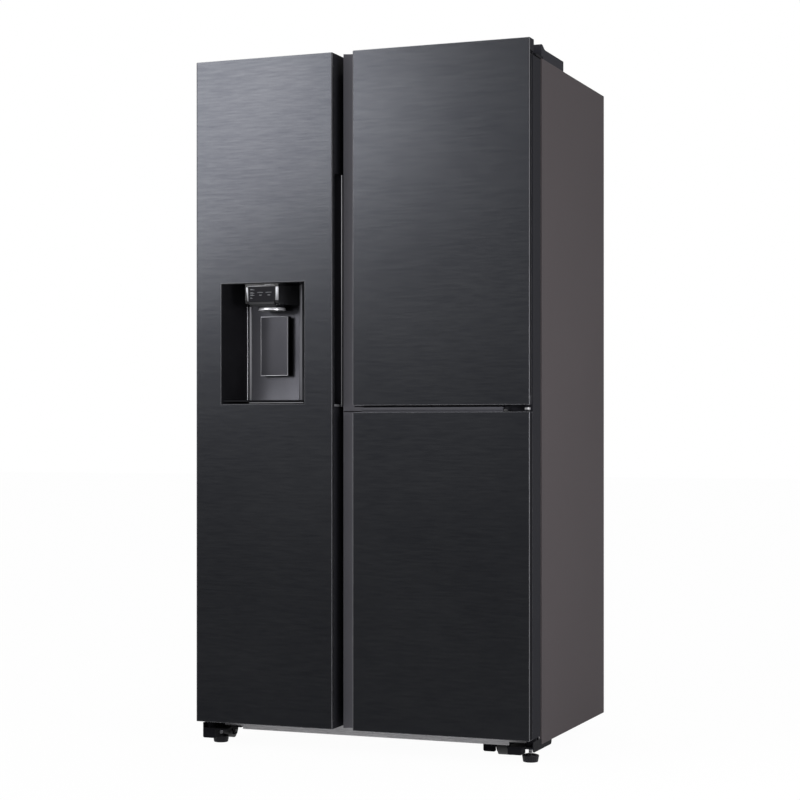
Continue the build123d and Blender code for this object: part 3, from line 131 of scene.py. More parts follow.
# ------------------------------------------------------------------ shader groups
class Texture(Enum):
    """The fine surface of a finish, and the scale of its pattern along X, Y and Z in 1/m."""

    SMOOTH = (9.0, 9.0, 9.0)
    BRUSHED_X = (20.0, 200.0, 230.0)
    BRUSHED_Z = (1500.0, 1500.0, 14.0)
    PEEL = (420.0, 420.0, 420.0)
    MOULDED = (1300.0, 1300.0, 1300.0)
    CAST = (260.0, 260.0, 260.0)
    SPANGLE = (60.0, 60.0, 60.0)
    CELLS = (350.0, 350.0, 350.0)


class Axis(Enum):
    """An axis, as the places of a plane's two coordinates across it and of the height along it."""

    X = (1, 2, 0)
    Y = (0, 2, 1)
    Z = (0, 1, 2)

    def turn(self) -> Matrix:
        """Gives the rotation that lays an upright thing along this axis."""
        return {"X": Matrix.Rotation(math.pi / 2, 3, "Y"), "Z": Matrix.Identity(3),
                "Y": Matrix.Rotation(-math.pi / 2, 3, "X")}[self.name]


class Side(Enum):
    """The two sides of the cabinet, as nodes name them."""

    LEFT = "left"
    RIGHT = "right"


class ShaderGroup:
    """A node group with named sockets, built once and placed in the materials that use it."""

    def __init__(self, name: str, inputs: dict[str, float | None]) -> None:
        """Starts a group.

        Args:
            name: Name of the node tree.
            inputs: Default of each float input by name; None makes the input a vector.
        """
        self.tree = bpy.data.node_groups.new(name, "ShaderNodeTree")
        for key, value in inputs.items():
            kind = "NodeSocketVector" if value is None else "NodeSocketFloat"
            item = self.tree.interface.new_socket(name=key, in_out="INPUT", socket_type=kind)
            if value is not None:
                item.default_value = value
        self.entry = self.tree.nodes.new("NodeGroupInput").outputs

    def math(self, operation: str, a: Value, b: Value = 0.0, clamp: bool = False) -> Socket:
        """Adds a Math node, held between 0 and 1 if asked, and gives its result."""
        return add_node(self.tree, "Math", {0: a, 1: b}, operation=operation,
                        use_clamp=clamp).outputs[0]

    def noise(self, place: Socket, scale: Value, detail: float = 2.0,
              roughness: float = 0.5) -> Socket:
        """Adds a noise texture and gives its value."""
        return add_node(self.tree, "TexNoise", {"Vector": place, "Scale": scale, "Detail": detail,
                                                "Roughness": roughness}).outputs[0]

    def facing(self, axis: Axis) -> Socket:
        """Gives the part of the face's direction along an axis."""
        true_normal = add_node(self.tree, "NewGeometry").outputs["True Normal"]
        return add_node(self.tree, "SeparateXYZ", {0: true_normal}).outputs[axis.name]

    def finish(self, **results: Socket) -> Tree:
        """Gives the group its float outputs.

        Args:
            **results: The socket of each output by its name.

        Returns:
            The finished group.
        """
        for key in results:
            self.tree.interface.new_socket(name=key, in_out="OUTPUT", socket_type="NodeSocketFloat")
        out = self.tree.nodes.new("NodeGroupOutput")
        for key, socket in results.items():
            self.tree.links.new(socket, out.inputs[key])
        return self.tree


def build_grain_group() -> Tree:
    """Stretched or even noise at two scales: the fine surface of metal, paint and plastic.

    Returns:
        The group, with the inputs Vector, Scale and Blotch and the outputs Mask and Height.
    """
    group = ShaderGroup("fine_grain", {"Vector": None, "Scale": None, "Blotch": 6.0})
    place, scale = group.entry["Vector"], group.entry["Scale"]
    stretched = add_node(group.tree, "VectorMath", {0: place, 1: scale}, operation="MULTIPLY")
    lines = group.noise(stretched.outputs[0], 1.0, detail=3.0, roughness=0.6)
    blotches = group.noise(place, group.entry["Blotch"])
    blotch_share = 0.35
    mask = group.math("ADD", group.math("MULTIPLY", blotches, blotch_share),
                      group.math("MULTIPLY", lines, 1.0 - blotch_share), clamp=True)
    return group.finish(Mask=mask, Height=lines)


def build_dust_group() -> Tree:
    """A thin film of dust that lies on surfaces that look up, in soft patches.

    Returns:
        The group, with the inputs Vector and Amount and the output Mask.
    """
    group = ShaderGroup("settled_dust", {"Vector": None, "Amount": 0.2})
    patch_scale, falloff = 24.0, 3.0
    upward = group.math("POWER", group.math("MAXIMUM", group.facing(Axis.Z), 0.0), falloff)
    noise = group.noise(group.entry["Vector"], patch_scale, detail=5.0)
    patches = group.math("MULTIPLY", upward, noise)
    return group.finish(Mask=group.math("MULTIPLY", patches, group.entry["Amount"], clamp=True))


def build_edge_group() -> Tree:
    """A mask along sharp edges for a lighter line: wear, and on the door steel a painted highlight.

    Returns:
        The group, with the inputs Vector, Radius and Amount and the output Mask.
    """
    group = ShaderGroup("edge_wear_and_highlight", {"Vector": None, "Radius": 0.002, "Amount": 0.5})
    rounded = add_node(group.tree, "Bevel", {"Radius": group.entry["Radius"]}, samples=4)
    normal = add_node(group.tree, "NewGeometry").outputs["Normal"]
    dot = add_node(group.tree, "VectorMath", {0: rounded.outputs[0], 1: normal},
                   operation="DOT_PRODUCT")
    gain, patch_scale, least = 4.0, 60.0, 0.3
    bend = group.math("SUBTRACT", 1.0, dot.outputs["Value"])
    sharp = group.math("MULTIPLY", bend, gain, clamp=True)
    worn = group.math("ADD", group.noise(group.entry["Vector"], patch_scale), least)
    broken = group.math("MULTIPLY", sharp, worn)
    return group.finish(Mask=group.math("MULTIPLY", broken, group.entry["Amount"], clamp=True))


def build_fold_group() -> Tree:
    """A mask on faces that look to the left or right, where a folded sheet is coated.

    Returns:
        The group, with the input Amount and the output Mask.
    """
    group = ShaderGroup("coated_fold", {"Amount": 1.0})
    start, gain = 0.6, 5.0
    sideways = group.math("ABSOLUTE", group.facing(Axis.X))
    share = group.math("MULTIPLY", sideways, group.entry["Amount"])
    past = group.math("SUBTRACT", share, start)
    return group.finish(Mask=group.math("MULTIPLY", past, gain, clamp=True))


# ------------------------------------------------------------------ finishes
@dataclass(frozen=True)
class Finish:
    """One surface finish and the numbers of its shader.

    Colours are display values from 0 to 255. The mask of the fine grain moves the colour between
    shade and light, and the roughness between its two ends.
    """

    name: str
    slot: str                      # the record's material slot that it belongs to
    light: Colour
    shade: Colour
    roughness: Span = (0.4, 0.5)
    metallic: float = 0.0
    texture: Texture = Texture.MOULDED
    bump: float = 0.1
    bump_depth: float = 0.0002
    blotch: float = 6.0
    dust: float = 0.0
    dust_colour: Colour = (176, 172, 165)
    # edge and its colour: lighter along sharp edges, as wear, and on the door steel as painted
    # highlight
    edge: float = 0.0
    edge_highlight_and_wear_colour: Colour = (150, 150, 150)
    fold: Colour | None = None
    coat: float = 0.0
    coat_roughness: float = 0.1
    specular: float = 0.5
    transmission: float = 0.0
    ior: float = 1.5
    glow: float = 0.0
    sheen: float = 0.0
    mask_span: Span = (0.3, 0.7)   # where the grain's mask reaches shade and light
    matt_roughness: float = 0.62

    def material(self, groups: dict[str, Tree]) -> bpy.types.Material:
        """Builds the node material of this finish.

        Args:
            groups: The shared shader groups by name.

        Returns:
            The material.
        """
        made = bpy.data.materials.new(self.name)
        made.use_nodes = True
        tree = made.node_tree
        shader = tree.nodes["Principled BSDF"]
        for name, value in (("Metallic", self.metallic), ("Coat Weight", self.coat),
                            ("Coat Roughness", self.coat_roughness), ("IOR", self.ior),
                            ("Specular IOR Level", self.specular), ("Sheen Weight", self.sheen),
                            ("Transmission Weight", self.transmission),
                            ("Roughness", self.roughness[0])):
            shader.inputs[name].default_value = value
        if self.glow:
            shader.inputs["Emission Color"].default_value = linear(self.light)
            shader.inputs["Emission Strength"].default_value = self.glow

        place = add_node(tree, "TexCoord").outputs["Object"]
        grain = add_node(tree, "Group", {"Vector": place, "Scale": self.texture.value,
                                         "Blotch": self.blotch}, node_tree=groups["grain"])
        mask = self.stretch(tree, grain.outputs["Mask"], (0.0, 1.0))
        surface = add_node(tree, "Mix", {"A": linear(self.shade), "B": linear(self.light),
                                         "Factor": mask}, data_type="RGBA").outputs["Result"]
        if self.roughness[0] != self.roughness[1]:
            tree.links.new(self.stretch(tree, grain.outputs["Mask"], self.roughness),
                           shader.inputs["Roughness"])
        if self.dust:
            surface, _ = self.layer(tree, surface, self.dust_colour, groups["dust"],
                                    Amount=self.dust, Vector=place)
        if self.fold:
            surface, mask = self.layer(tree, surface, self.fold, groups["fold"], Amount=1.0)
            self.matt(tree, shader, mask, 0.0)
        # Along sharp edges the colour turns lighter and the metal duller: wear, and on the door
        # steel a painted highlight.
        if self.edge:
            surface, mask = self.layer(tree, surface, self.edge_highlight_and_wear_colour, groups["edge"],
                                       Amount=self.edge, Vector=place)
            if self.metallic:
                self.matt(tree, shader, mask, 0.15)
        tree.links.new(surface, shader.inputs["Base Color"])
        bump = add_node(tree, "Bump", {"Strength": self.bump, "Distance": self.bump_depth,
                                       "Height": grain.outputs["Height"]})
        tree.links.new(bump.outputs[0], shader.inputs["Normal"])
        return made

    def stretch(self, tree: Tree, mask: Socket, ends: Span) -> Socket:
        """Maps the grain's mask to a span."""
        return add_node(tree, "MapRange", {
            "Value": mask, "From Min": self.mask_span[0], "From Max": self.mask_span[1],
            "To Min": ends[0], "To Max": ends[1]}).outputs[0]

    def layer(self, tree: Tree, under: Socket, colour: Colour, group: Tree,
              **inputs: Value) -> tuple[Socket, Socket]:
        """Lays another colour over the surface where a group's mask says so.

        Args:
            tree: The material's node tree.
            under: Socket of the colour below.
            colour: Display colour of the layer.
            group: The shader group with the mask.
            **inputs: What the group's inputs get.

        Returns:
            The sockets of the mixed colour and of the mask.
        """
        mask = add_node(tree, "Group", inputs, node_tree=group).outputs["Mask"]
        mix = add_node(tree, "Mix", {"Factor": mask, "A": under, "B": linear(colour)},
                       data_type="RGBA")
        return mix.outputs["Result"], mask

    def matt(self, tree: Tree, shader: Node, mask: Socket, share: float) -> None:
        """Takes the metal out of the surface and roughens it where a mask says so.

        Args:
            tree: The material's node tree.
            shader: The material's Principled shader.
            mask: Socket of the mask.
            share: How much of the metal stays where the mask is full.
        """
        for name, full in (("Metallic", self.metallic * share), ("Roughness", self.matt_roughness)):
            socket = shader.inputs[name]
            under = socket.links[0].from_socket if socket.is_linked else socket.default_value
            change = add_node(tree, "Mix", {"Factor": mask, "A": under, "B": full})
            tree.links.new(change.outputs["Result"], socket)


DULL = {"specular": 0.08, "ior": 1.2}            # soft-looking plastic and paint
SATIN = {"texture": Texture.SMOOTH, "bump": 0.03, "bump_depth": 0.0001}
SMOOTH = {"texture": Texture.SMOOTH, "bump": 0.02}
DRAWN = {"texture": Texture.BRUSHED_Z, "bump": 0.06, "bump_depth": 0.00008}
PLATED = {"texture": Texture.SPANGLE, "bump": 0.06, "bump_depth": 0.0001, "blotch": 40.0}

# The door steel's edge mask paints a bright highlight along its edges.
DOOR_STEEL = Finish(
    "black_brushed_steel", "dark_steel", (57, 58, 61), (45, 46, 50), (0.25, 0.25), 1.0,
    Texture.BRUSHED_X, 0.3, 0.0001, 3.0, edge=0.9, edge_highlight_and_wear_colour=(146, 146, 150), fold=(26, 26, 29),
    specular=0.04, ior=1.15)
SIDE_PAINT = Finish(
    "taupe_side_paint", "side_paint", (75, 70, 72), (68, 63, 65), (0.55, 0.62), 0.0, Texture.PEEL,
    0.12, blotch=2.5, dust=0.2, specular=0.1, ior=1.2, edge=0.3, edge_highlight_and_wear_colour=(140, 134, 134))
DARK_PLASTIC = Finish(
    "dark_door_plastic", "dark_plastic", (56, 57, 60), (48, 49, 52), (0.42, 0.52), dust=0.12)
DOOR_SIDE = Finish(
    "door_side_plastic", "dark_plastic", (38, 38, 42), (32, 32, 36), (0.6, 0.7), **DULL)
GRIP_PLASTIC = Finish(
    "grip_moulding_plastic", "dark_plastic", (88, 87, 93), (76, 75, 81), bump=0.08, specular=0.35,
    ior=1.35)
SATIN_PANEL = Finish(
    "satin_dark_panel", "black_gloss", (64, 64, 68), (57, 57, 61), (0.22, 0.28), 1.0, blotch=4.0,
    **SATIN)
SATIN_CHEEK = Finish(
    "satin_niche_side", "black_gloss", (128, 128, 133), (114, 114, 119), (0.5, 0.6), blotch=4.0,
    specular=0.06, ior=1.2, **SATIN)
SATIN_BAND = Finish(
    "satin_corner_band", "silver_trim", (128, 128, 132), (114, 114, 118), metallic=0.1, blotch=8.0,
    specular=0.3, **SATIN)
# Light grey for the mouth's frame and the lower lip: painted highlight of their edges.
NICHE_EDGE_HIGHLIGHT = Finish(
    "painted_niche_edge_highlight", "silver_trim", (132, 132, 136), (118, 118, 122), metallic=0.1, blotch=8.0,
    **SATIN)
SATIN_EDGE = Finish(
    "satin_bright_edge", "silver_trim", (150, 150, 154), (132, 132, 136), (0.25, 0.35), 1.0,
    blotch=8.0, **SATIN)
SILVER_CHEEK = Finish(
    "silver_cheek", "silver_trim", (150, 151, 155), (128, 129, 133), (0.36, 0.44), 0.8, **DRAWN)
DISPLAY_GLASS = Finish(
    "display_glass", "black_gloss", (34, 34, 37), (28, 28, 31), (0.12, 0.18), specular=0.12,
    ior=1.25, **SMOOTH)
MARK_GREY = Finish(
    "display_marks", "black_gloss", (118, 120, 124), (96, 98, 102), (0.5, 0.6), glow=0.12,
    **SMOOTH)
BRIGHT_METAL = Finish(
    "polished_chute", "silver_trim", (232, 232, 236), (218, 218, 222), (0.24, 0.32), 0.55,
    Texture.BRUSHED_Z, 0.05, 0.00005, 12.0)
SPLIT_STRIP = Finish(
    "split_strip_plastic", "dark_plastic", (70, 70, 76), (62, 62, 67), bump=0.08, specular=0.3,
    ior=1.35)
BEAD_METAL = Finish(
    "handle_bead_metal", "silver_trim", (182, 182, 186), (168, 168, 172), (0.2, 0.26), 1.0,
    **DRAWN)
# Thin lighter strips on the steel's edges: painted highlight.
EDGE_HIGHLIGHT = Finish(
    "painted_edge_highlight", "dark_steel", (118, 118, 122), (104, 104, 108), (0.4, 0.5), 0.2,
    Texture.BRUSHED_Z, 0.05, 0.00005, 12.0)
COPPER = Finish(
    "copper_tube", "zinc_steel", (196, 122, 88), (168, 98, 68), (0.28, 0.42), 1.0, Texture.SPANGLE,
    0.1, 0.0001, 30.0)
SCREW = Finish(
    "plated_screw", "zinc_steel", (170, 170, 172), (142, 142, 145), (0.3, 0.42), 1.0, Texture.CAST,
    0.1, 0.0001, 50.0)
COVER_PLASTIC = Finish(
    "blue_grey_cover_plastic", "hinge_cover_plastic", (46, 46, 51), (39, 39, 44), (0.55, 0.65),
    bump=0.14, dust=0.2, **DULL)
STRIP_PLASTIC = Finish(
    "grey_base_plastic", "strip_plastic", (208, 207, 210), (194, 193, 196), (0.45, 0.55))
GALVANISED = Finish(
    "galvanised_sheet", "galvanised", (171, 175, 178), (160, 164, 168), (0.38, 0.46), 0.9,
    Texture.SPANGLE, 0.05, 0.0001, 30.0, dust=0.1)
FOAM = Finish(
    "rigid_foam", "foam", (226, 210, 160), (204, 186, 134), (0.8, 0.9), 0.0, Texture.CELLS, 0.6,
    0.0006)
LINER = Finish(
    "white_liner", "liner_plastic", (232, 234, 236), (224, 227, 230), (0.22, 0.3), 0.0,
    Texture.PEEL, 0.06)
WHITE_PLASTIC = Finish(
    "white_moulding", "white_plastic", (238, 240, 241), (228, 231, 233), (0.3, 0.38), bump=0.06)
GLOSS_BLACK = Finish(
    "piano_black", "black_gloss", (22, 22, 24), (14, 14, 16), (0.1, 0.16), coat=0.4,
    coat_roughness=0.05, **SMOOTH)
HOUSING_BLACK = Finish(
    "niche_black", "black_gloss", (24, 24, 27), (16, 16, 18), (0.16, 0.24), specular=0.14, ior=1.3,
    **SMOOTH)
# Black for strips that paint the shadow lines of the door split.
PAINTED_GAP_SHADOW = Finish(
    "painted_gap_shadow", "gasket_rubber", (14, 14, 16), (10, 10, 12), (0.7, 0.8), bump=0.05,
    specular=0.04, ior=1.15)
BLACK_PLASTIC = Finish("black_moulding", "black_plastic", (34, 34, 37), (26, 26, 29), (0.36, 0.46))
SHELF_GLASS = Finish(
    "shelf_glass", "shelf_glass", (232, 240, 240), (226, 236, 236), (0.02, 0.05), 0.0,
    Texture.SMOOTH, 0.01, transmission=1.0)
BIN_PLASTIC = Finish(
    "clear_bin_plastic", "bin_plastic", (236, 240, 244), (228, 234, 239), (0.06, 0.1),
    transmission=0.9, ior=1.46, **SMOOTH)
GASKET = Finish(
    "gasket_rubber", "gasket_rubber", (62, 62, 64), (50, 50, 52), (0.6, 0.72), bump=0.2, sheen=0.1)
SILVER_TRIM = Finish(
    "satin_silver", "silver_trim", (196, 198, 202), (176, 178, 183), (0.18, 0.26), 1.0,
    Texture.BRUSHED_Z, 0.08, 0.00008)
LAMP = Finish(
    "lamp_lens", "lamp_cover", (246, 249, 252), (238, 242, 246), (0.35, 0.45), bump=0.08, glow=0.6)
ZINC = Finish(
    "zinc_plate", "zinc_steel", (176, 176, 178), (150, 150, 153), (0.28, 0.42), 1.0, **PLATED)
PALE_ZINC = Finish(
    "pale_zinc_plate", "zinc_steel", (206, 206, 209), (184, 184, 188), (0.3, 0.42), 0.35, **PLATED)
BLACK_STEEL = Finish(
    "black_coated_steel", "black_steel", (25, 25, 28), (17, 17, 20), texture=Texture.CAST,
    bump=0.2, dust=0.05, edge=0.2, edge_highlight_and_wear_colour=(70, 70, 74), specular=0.05, ior=1.2)
FOOT_PLASTIC = Finish(
    "foot_moulding", "black_plastic", (32, 32, 36), (22, 22, 26), (0.35, 0.45), specular=0.25,
    ior=1.35)
FINS = Finish(
    "mill_aluminium", "fin_aluminium", (198, 200, 203), (176, 178, 182), (0.3, 0.42), 1.0,
    Texture.BRUSHED_Z, 0.08, dust=0.15)
NYLON = Finish("roller_nylon", "roller_nylon", (28, 28, 31), (22, 22, 25), (0.5, 0.6), bump=0.12)

SLOT_FINISHES = {finish.slot: finish for finish in (
    SIDE_PAINT, GALVANISED, DOOR_STEEL, DARK_PLASTIC, COVER_PLASTIC, STRIP_PLASTIC, FOAM, LINER,
    WHITE_PLASTIC, GLOSS_BLACK, BLACK_PLASTIC, SHELF_GLASS, BIN_PLASTIC, GASKET, SILVER_TRIM, LAMP,
    ZINC, BLACK_STEEL, FINS, NYLON)}
NODE_FINISHES = {
    "fridge_door_core": DOOR_SIDE, "freezer_door_core": DOOR_SIDE,
    "showcase_door_core": DOOR_SIDE, "freezer_door_caps": DOOR_SIDE,
    "showcase_door_caps": DOOR_SIDE, "handle_pocket": DOOR_SIDE,
    "fridge_door_moulding": GRIP_PLASTIC, "dispenser_paddle": SATIN_PANEL,
    "drip_tray": HOUSING_BLACK, "dispenser_housing": HOUSING_BLACK,
    "dispenser_head": GLOSS_BLACK, "dispenser_display": DISPLAY_GLASS,
    "upper_hinges": BLACK_STEEL, "lower_hinge_left": BLACK_STEEL,
    "lower_hinge_right": BLACK_STEEL, "showcase_hinge": BLACK_STEEL,
    "handle_trim": SILVER_CHEEK, "base_plate": SIDE_PAINT,
}


# ------------------------------------------------------------------ forms
def spans(node: str) -> tuple[Span, Span, Span]:
    """Gives a node's low and high values along X, Y and Z at rest, in millimetres."""
    low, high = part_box(node)
    return tuple((a / MM, b / MM) for a, b in zip(low, high))


def middle(span: Span) -> float:
    """The middle of a span."""
    return (span[0] + span[1]) / 2


def inset(span: Span, amount: float) -> Span:
    """A span moved in by the same amount at both ends."""
    return (span[0] + amount, span[1] - amount)


def around(value: float, low: float, high: float) -> Span:
    """A span given by the distances of its ends from a value."""
    return (value + low, value + high)


class Form:
    """A mesh in millimetres, put together from rounded plates, rings and turned profiles."""

    DISH_STEPS = 16
    MERGE = 1e-4

    def __init__(self) -> None:
        """Starts an empty mesh."""
        self.bm = bmesh.new()

    def block(self, x: Span, y: Span, z: Span, radius: float = 0.4, segments: int = 2) -> Form:
        """Adds a block with rounded edges.

        Args:
            x: Low and high X.
            y: Low and high Y.
            z: Low and high Z.
            radius: Radius of its edges.
            segments: Segments of the rounding.

        Returns:
            This form.
        """
        corners = [(x[0], z[0]), (x[1], z[0]), (x[1], z[1]), (x[0], z[1])]
        return self.plate(corners, y, Axis.Y, radius, segments)

    def plate(self, outline: list[Span], depth: Span, axis: Axis, radius: float = 0.4,
              segments: int = 2) -> Form:
        """Adds a plate of any outline with rounded edges.

        Args:
            outline: Corners in the plane across the axis.
            depth: Low and high value along the axis.
            axis: The axis that it is extruded along.
            radius: Radius of its edges.
            segments: Segments of the rounding.

        Returns:
            This form.
        """
        face = self.bm.faces.new([self.vertex(corner, depth[0], axis) for corner in outline])
        return self.thicken([face], depth, axis, radius, segments)

    def ring(self, a: Span, b: Span, width: float, depth: Span, radius: float = 0.2,
             segments: int = 2) -> Form:
        """Adds an upright rectangular frame with mitred corners.

        Args:
            a: Outer span along X.
            b: Outer span along Z.
            width: Width of the frame.
            depth: Low and high Y.
            radius: Radius of its edges.
            segments: Segments of the rounding.

        Returns:
            This form.
        """
        loops = []
        for amount in (0.0, width):
            p, q = inset(a, amount), inset(b, amount)
            corners = ((p[0], q[0]), (p[1], q[0]), (p[1], q[1]), (p[0], q[1]))
            loops.append([self.vertex(corner, depth[0], Axis.Y) for corner in corners])
        outer, inner = loops
        faces = [self.bm.faces.new((outer[i - 1], outer[i], inner[i], inner[i - 1]))
                 for i in range(4)]
        return self.thicken(faces, depth, Axis.Y, radius, segments)

    def vertex(self, corner: Span, height: float, axis: Axis) -> bmesh.types.BMVert:
        """Adds a vertex.

        Args:
            corner: Its place in the plane across the axis.
            height: Its place along the axis.
            axis: The axis.

        Returns:
            The vertex.
        """
        place = [0.0, 0.0, 0.0]
        for index, value in zip(axis.value, (*corner, height)):
            place[index] = value
        return self.bm.verts.new(place)

    def push(self, faces: list[bmesh.types.BMFace], shift: Point) -> list[bmesh.types.BMVert]:
        """Extrudes faces by a shift.

        Args:
            faces: The faces.
            shift: How far the new faces move.

        Returns:
            The vertices of the new faces.
        """
        made = bmesh.ops.extrude_face_region(self.bm, geom=faces, use_keep_orig=True)["geom"]
        moved = [part for part in made if isinstance(part, bmesh.types.BMVert)]
        bmesh.ops.translate(self.bm, vec=shift, verts=moved)
        return moved

    def thicken(self, faces: list[bmesh.types.BMFace], depth: Span, axis: Axis, radius: float,
                segments: int) -> Form:
        """Extrudes flat faces along an axis and rounds every edge of what comes of them.

        Args:
            faces: The faces.
            depth: Low and high value along the axis.
            axis: The axis.
            radius: Radius of the edges; 0 leaves them sharp.
            segments: Segments of the rounding.

        Returns:
            This form.
        """
        shift = [0.0, 0.0, 0.0]
        shift[axis.value[2]] = depth[1] - depth[0]
        verts = self.push(faces, shift)
        verts = list({vert for face in faces for vert in face.verts}) + verts
        if radius:
            edges = list({edge for vert in verts for edge in vert.link_edges})
            bmesh.ops.bevel(self.bm, geom=edges, offset=radius, offset_type="OFFSET",
                            segments=segments, profile=0.5, affect="EDGES", clamp_overlap=True,
                            material=-1)
        return self

    def dish(self, x: Span, z: Span, front: float, wall: float,
             sag: tuple[float, float, float, float]) -> Form:
        """Adds a panel whose front is hollowed: its rim stands forward of its middle.

        Args:
            x: Low and high X.
            z: Low and high Z.
            front: Y of the middle of its front.
            wall: Thickness.
            sag: How far the left, the right, the bottom and the top edge stand forward.

        Returns:
            This form.
        """
        left, right, bottom, top = sag
        made = bmesh.ops.create_grid(self.bm, x_segments=self.DISH_STEPS,
                                     y_segments=self.DISH_STEPS, size=0.5)["verts"]
        faces = list({face for vert in made for face in vert.link_faces})
        for vert in made:
            across, up = vert.co.x * 2, vert.co.y * 2
            forward = (left if across < 0 else right) * abs(across) ** 3
            forward += (bottom if up < 0 else top) * up ** 2
            vert.co = (middle(x) + vert.co.x * (x[1] - x[0]), front - forward,
                       middle(z) + vert.co.y * (z[1] - z[0]))
        self.push(faces, (0.0, wall, 0.0))
        return self

    def turned(self, profile: list[Span], centre: Point, axis: Axis = Axis.Z,
               steps: int = 32) -> Form:
        """Adds a profile turned about an axis.

        Args:
            profile: Radii and heights from one end to the other.
            centre: Point on the axis where the height is 0.
            axis: The axis of turning.
            steps: Steps of the full turn.

        Returns:
            This form.
        """
        turned = bmesh.new()
        line = [turned.verts.new((radius, 0.0, height)) for radius, height in profile]
        edges = [turned.edges.new(pair) for pair in zip(line, line[1:])]
        bmesh.ops.spin(turned, geom=line + edges, cent=(0, 0, 0), axis=(0, 0, 1),
                       dvec=(0, 0, 0), angle=math.tau, steps=steps, use_merge=True,
                       use_duplicate=False)
        bmesh.ops.remove_doubles(turned, verts=turned.verts, dist=self.MERGE)
        bmesh.ops.rotate(turned, cent=(0, 0, 0), matrix=axis.turn(), verts=turned.verts)
        bmesh.ops.translate(turned, vec=centre, verts=turned.verts)
        mesh = bpy.data.meshes.new("turned")
        turned.to_mesh(mesh)
        turned.free()
        self.bm.from_mesh(mesh)
        bpy.data.meshes.remove(mesh)
        return self


class Workshop:
    """Keeps the shader groups and materials, and hands out finished pieces."""

    SHARP = math.radians(32.0)     # edges with a larger angle stay sharp

    def __init__(self) -> None:
        """Builds the shared shader groups."""
        self.groups = {"grain": build_grain_group(), "dust": build_dust_group(),
                       "edge": build_edge_group(), "fold": build_fold_group()}
        self.made: dict[str, bpy.types.Material] = {}

    def material(self, finish: Finish) -> bpy.types.Material:
        """Gives the material of a finish, built once.

        Args:
            finish: The finish.

        Returns:
            Its material.
        """
        if finish.name not in self.made:
            self.made[finish.name] = finish.material(self.groups)
        return self.made[finish.name]

    def dress(self, node: Object, finish: Finish) -> None:
        """Gives a CAD node its material.

        Args:
            node: The node's object.
            finish: The finish.
        """
        if not node.data.materials:
            node.data.materials.append(None)
        for slot in node.material_slots:
            slot.link = "OBJECT"
            slot.material = self.material(finish)

    def piece(self, name: str, form: Form, finish: Finish, body: str,
              replaces: tuple[str, ...] = ()) -> None:
        """Makes a form into a finished piece that moves with a body.

        Args:
            name: Name of the piece.
            form: The form, in millimetres.
            finish: Its finish.
            body: The body that it rides on.
            replaces: CAD nodes that it stands for.
        """
        bm = form.bm
        bmesh.ops.scale(bm, vec=(MM, MM, MM), verts=bm.verts)
        bmesh.ops.recalc_face_normals(bm, faces=bm.faces)
        mesh = bpy.data.meshes.new(name)
        bm.to_mesh(mesh)
        bm.free()
        mesh.polygons.foreach_set("use_smooth", [True] * len(mesh.polygons))
        mesh.set_sharp_from_angle(angle=self.SHARP)
        mesh.materials.append(self.material(finish))
        made = put(name, mesh)
        self.declare(made, body)
        if replaces:
            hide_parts(*replaces)

    def pipe(self, name: str, route: list[Point], radius: float, finish: Finish,
             body: str) -> None:
        """Makes a rigid bent pipe.

        Args:
            name: Name of the piece.
            route: Control points of its run in millimetres.
            radius: Outer radius in millimetres.
            finish: Its finish.
            body: The body that it rides on.
        """
        curve = bpy.data.curves.new(name, "CURVE")
        curve.dimensions = "3D"
        curve.bevel_depth = radius * MM
        curve.bevel_resolution = 3
        curve.use_fill_caps = True
        curve.resolution_u = 8
        run = curve.splines.new("NURBS")
        run.points.add(len(route) - 1)
        for point, corner in zip(run.points, route):
            point.co = (*[value * MM for value in corner], 1.0)
        run.order_u = 3
        run.use_endpoint_u = True
        curve.materials.append(self.material(finish))
        self.declare(put(name, curve), body)

    def declare(self, made: Object, body: str) -> None:
        """Tells the frame what a piece rides on, and reports it.

        Args:
            made: The piece.
            body: The body that it rides on.
        """
        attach(made, body)
        log.info("  %s on %s", made.name, body)


# ------------------------------------------------------------------ sub-assemblies
# Sizes that matter are fields. Small offsets of a few tenths of a millimetre sink a piece into what
# carries it or hold it off its neighbour, and the numbers of a profile are its corners.
@dataclass
class Assembly:
    """A group of nodes that moves as one body, with the pieces that dress it."""

    shop: Workshop
    body: str = "cabinet"
    edge_width: float = 0.8        # painted highlight line where a steel front turns round its edges

    def build(self) -> None:
        """Builds every piece of the assembly."""

    def add(self, name: str, form: Form, finish: Finish, body: str = "",
            replaces: tuple[str, ...] = ()) -> None:
        """Makes a piece that rides on this assembly's body unless another is named."""
        self.shop.piece(name, form, finish, body or self.body, replaces)

    def add_edges(self, skin: str) -> None:
        """Adds thin lighter strips down the left and right edges of a steel front: painted
        highlight.

        Args:
            skin: The steel's node.
        """
        x, y, z = spans(skin)
        lines = Form()
        for corner in (x[0], x[1] - self.edge_width):
            lines.block(around(corner, 0.0, self.edge_width), around(y[0], 0.02, 1.4),
                        inset(z, 1.0), 0.3)
        self.add(f"{skin}_edges", lines, EDGE_HIGHLIGHT)

    def screw(self, form: Form, place: Point, axis: Axis = Axis.Y, radius: float = 3.5) -> None:
        """Adds the domed head of a screw with its recess.

        Args:
            form: The form that it is added to.
            place: Where the head meets the surface.
            axis: Axis of the screw.
            radius: Radius of the head.
        """
        rise = radius * 0.45
        form.turned([(0.0, rise * 0.5), (radius * 0.28, rise * 0.5), (radius * 0.34, rise),
                     (radius * 0.7, rise * 0.9), (radius * 0.95, rise * 0.5), (radius, 0.0)],
                    place, axis, 20)


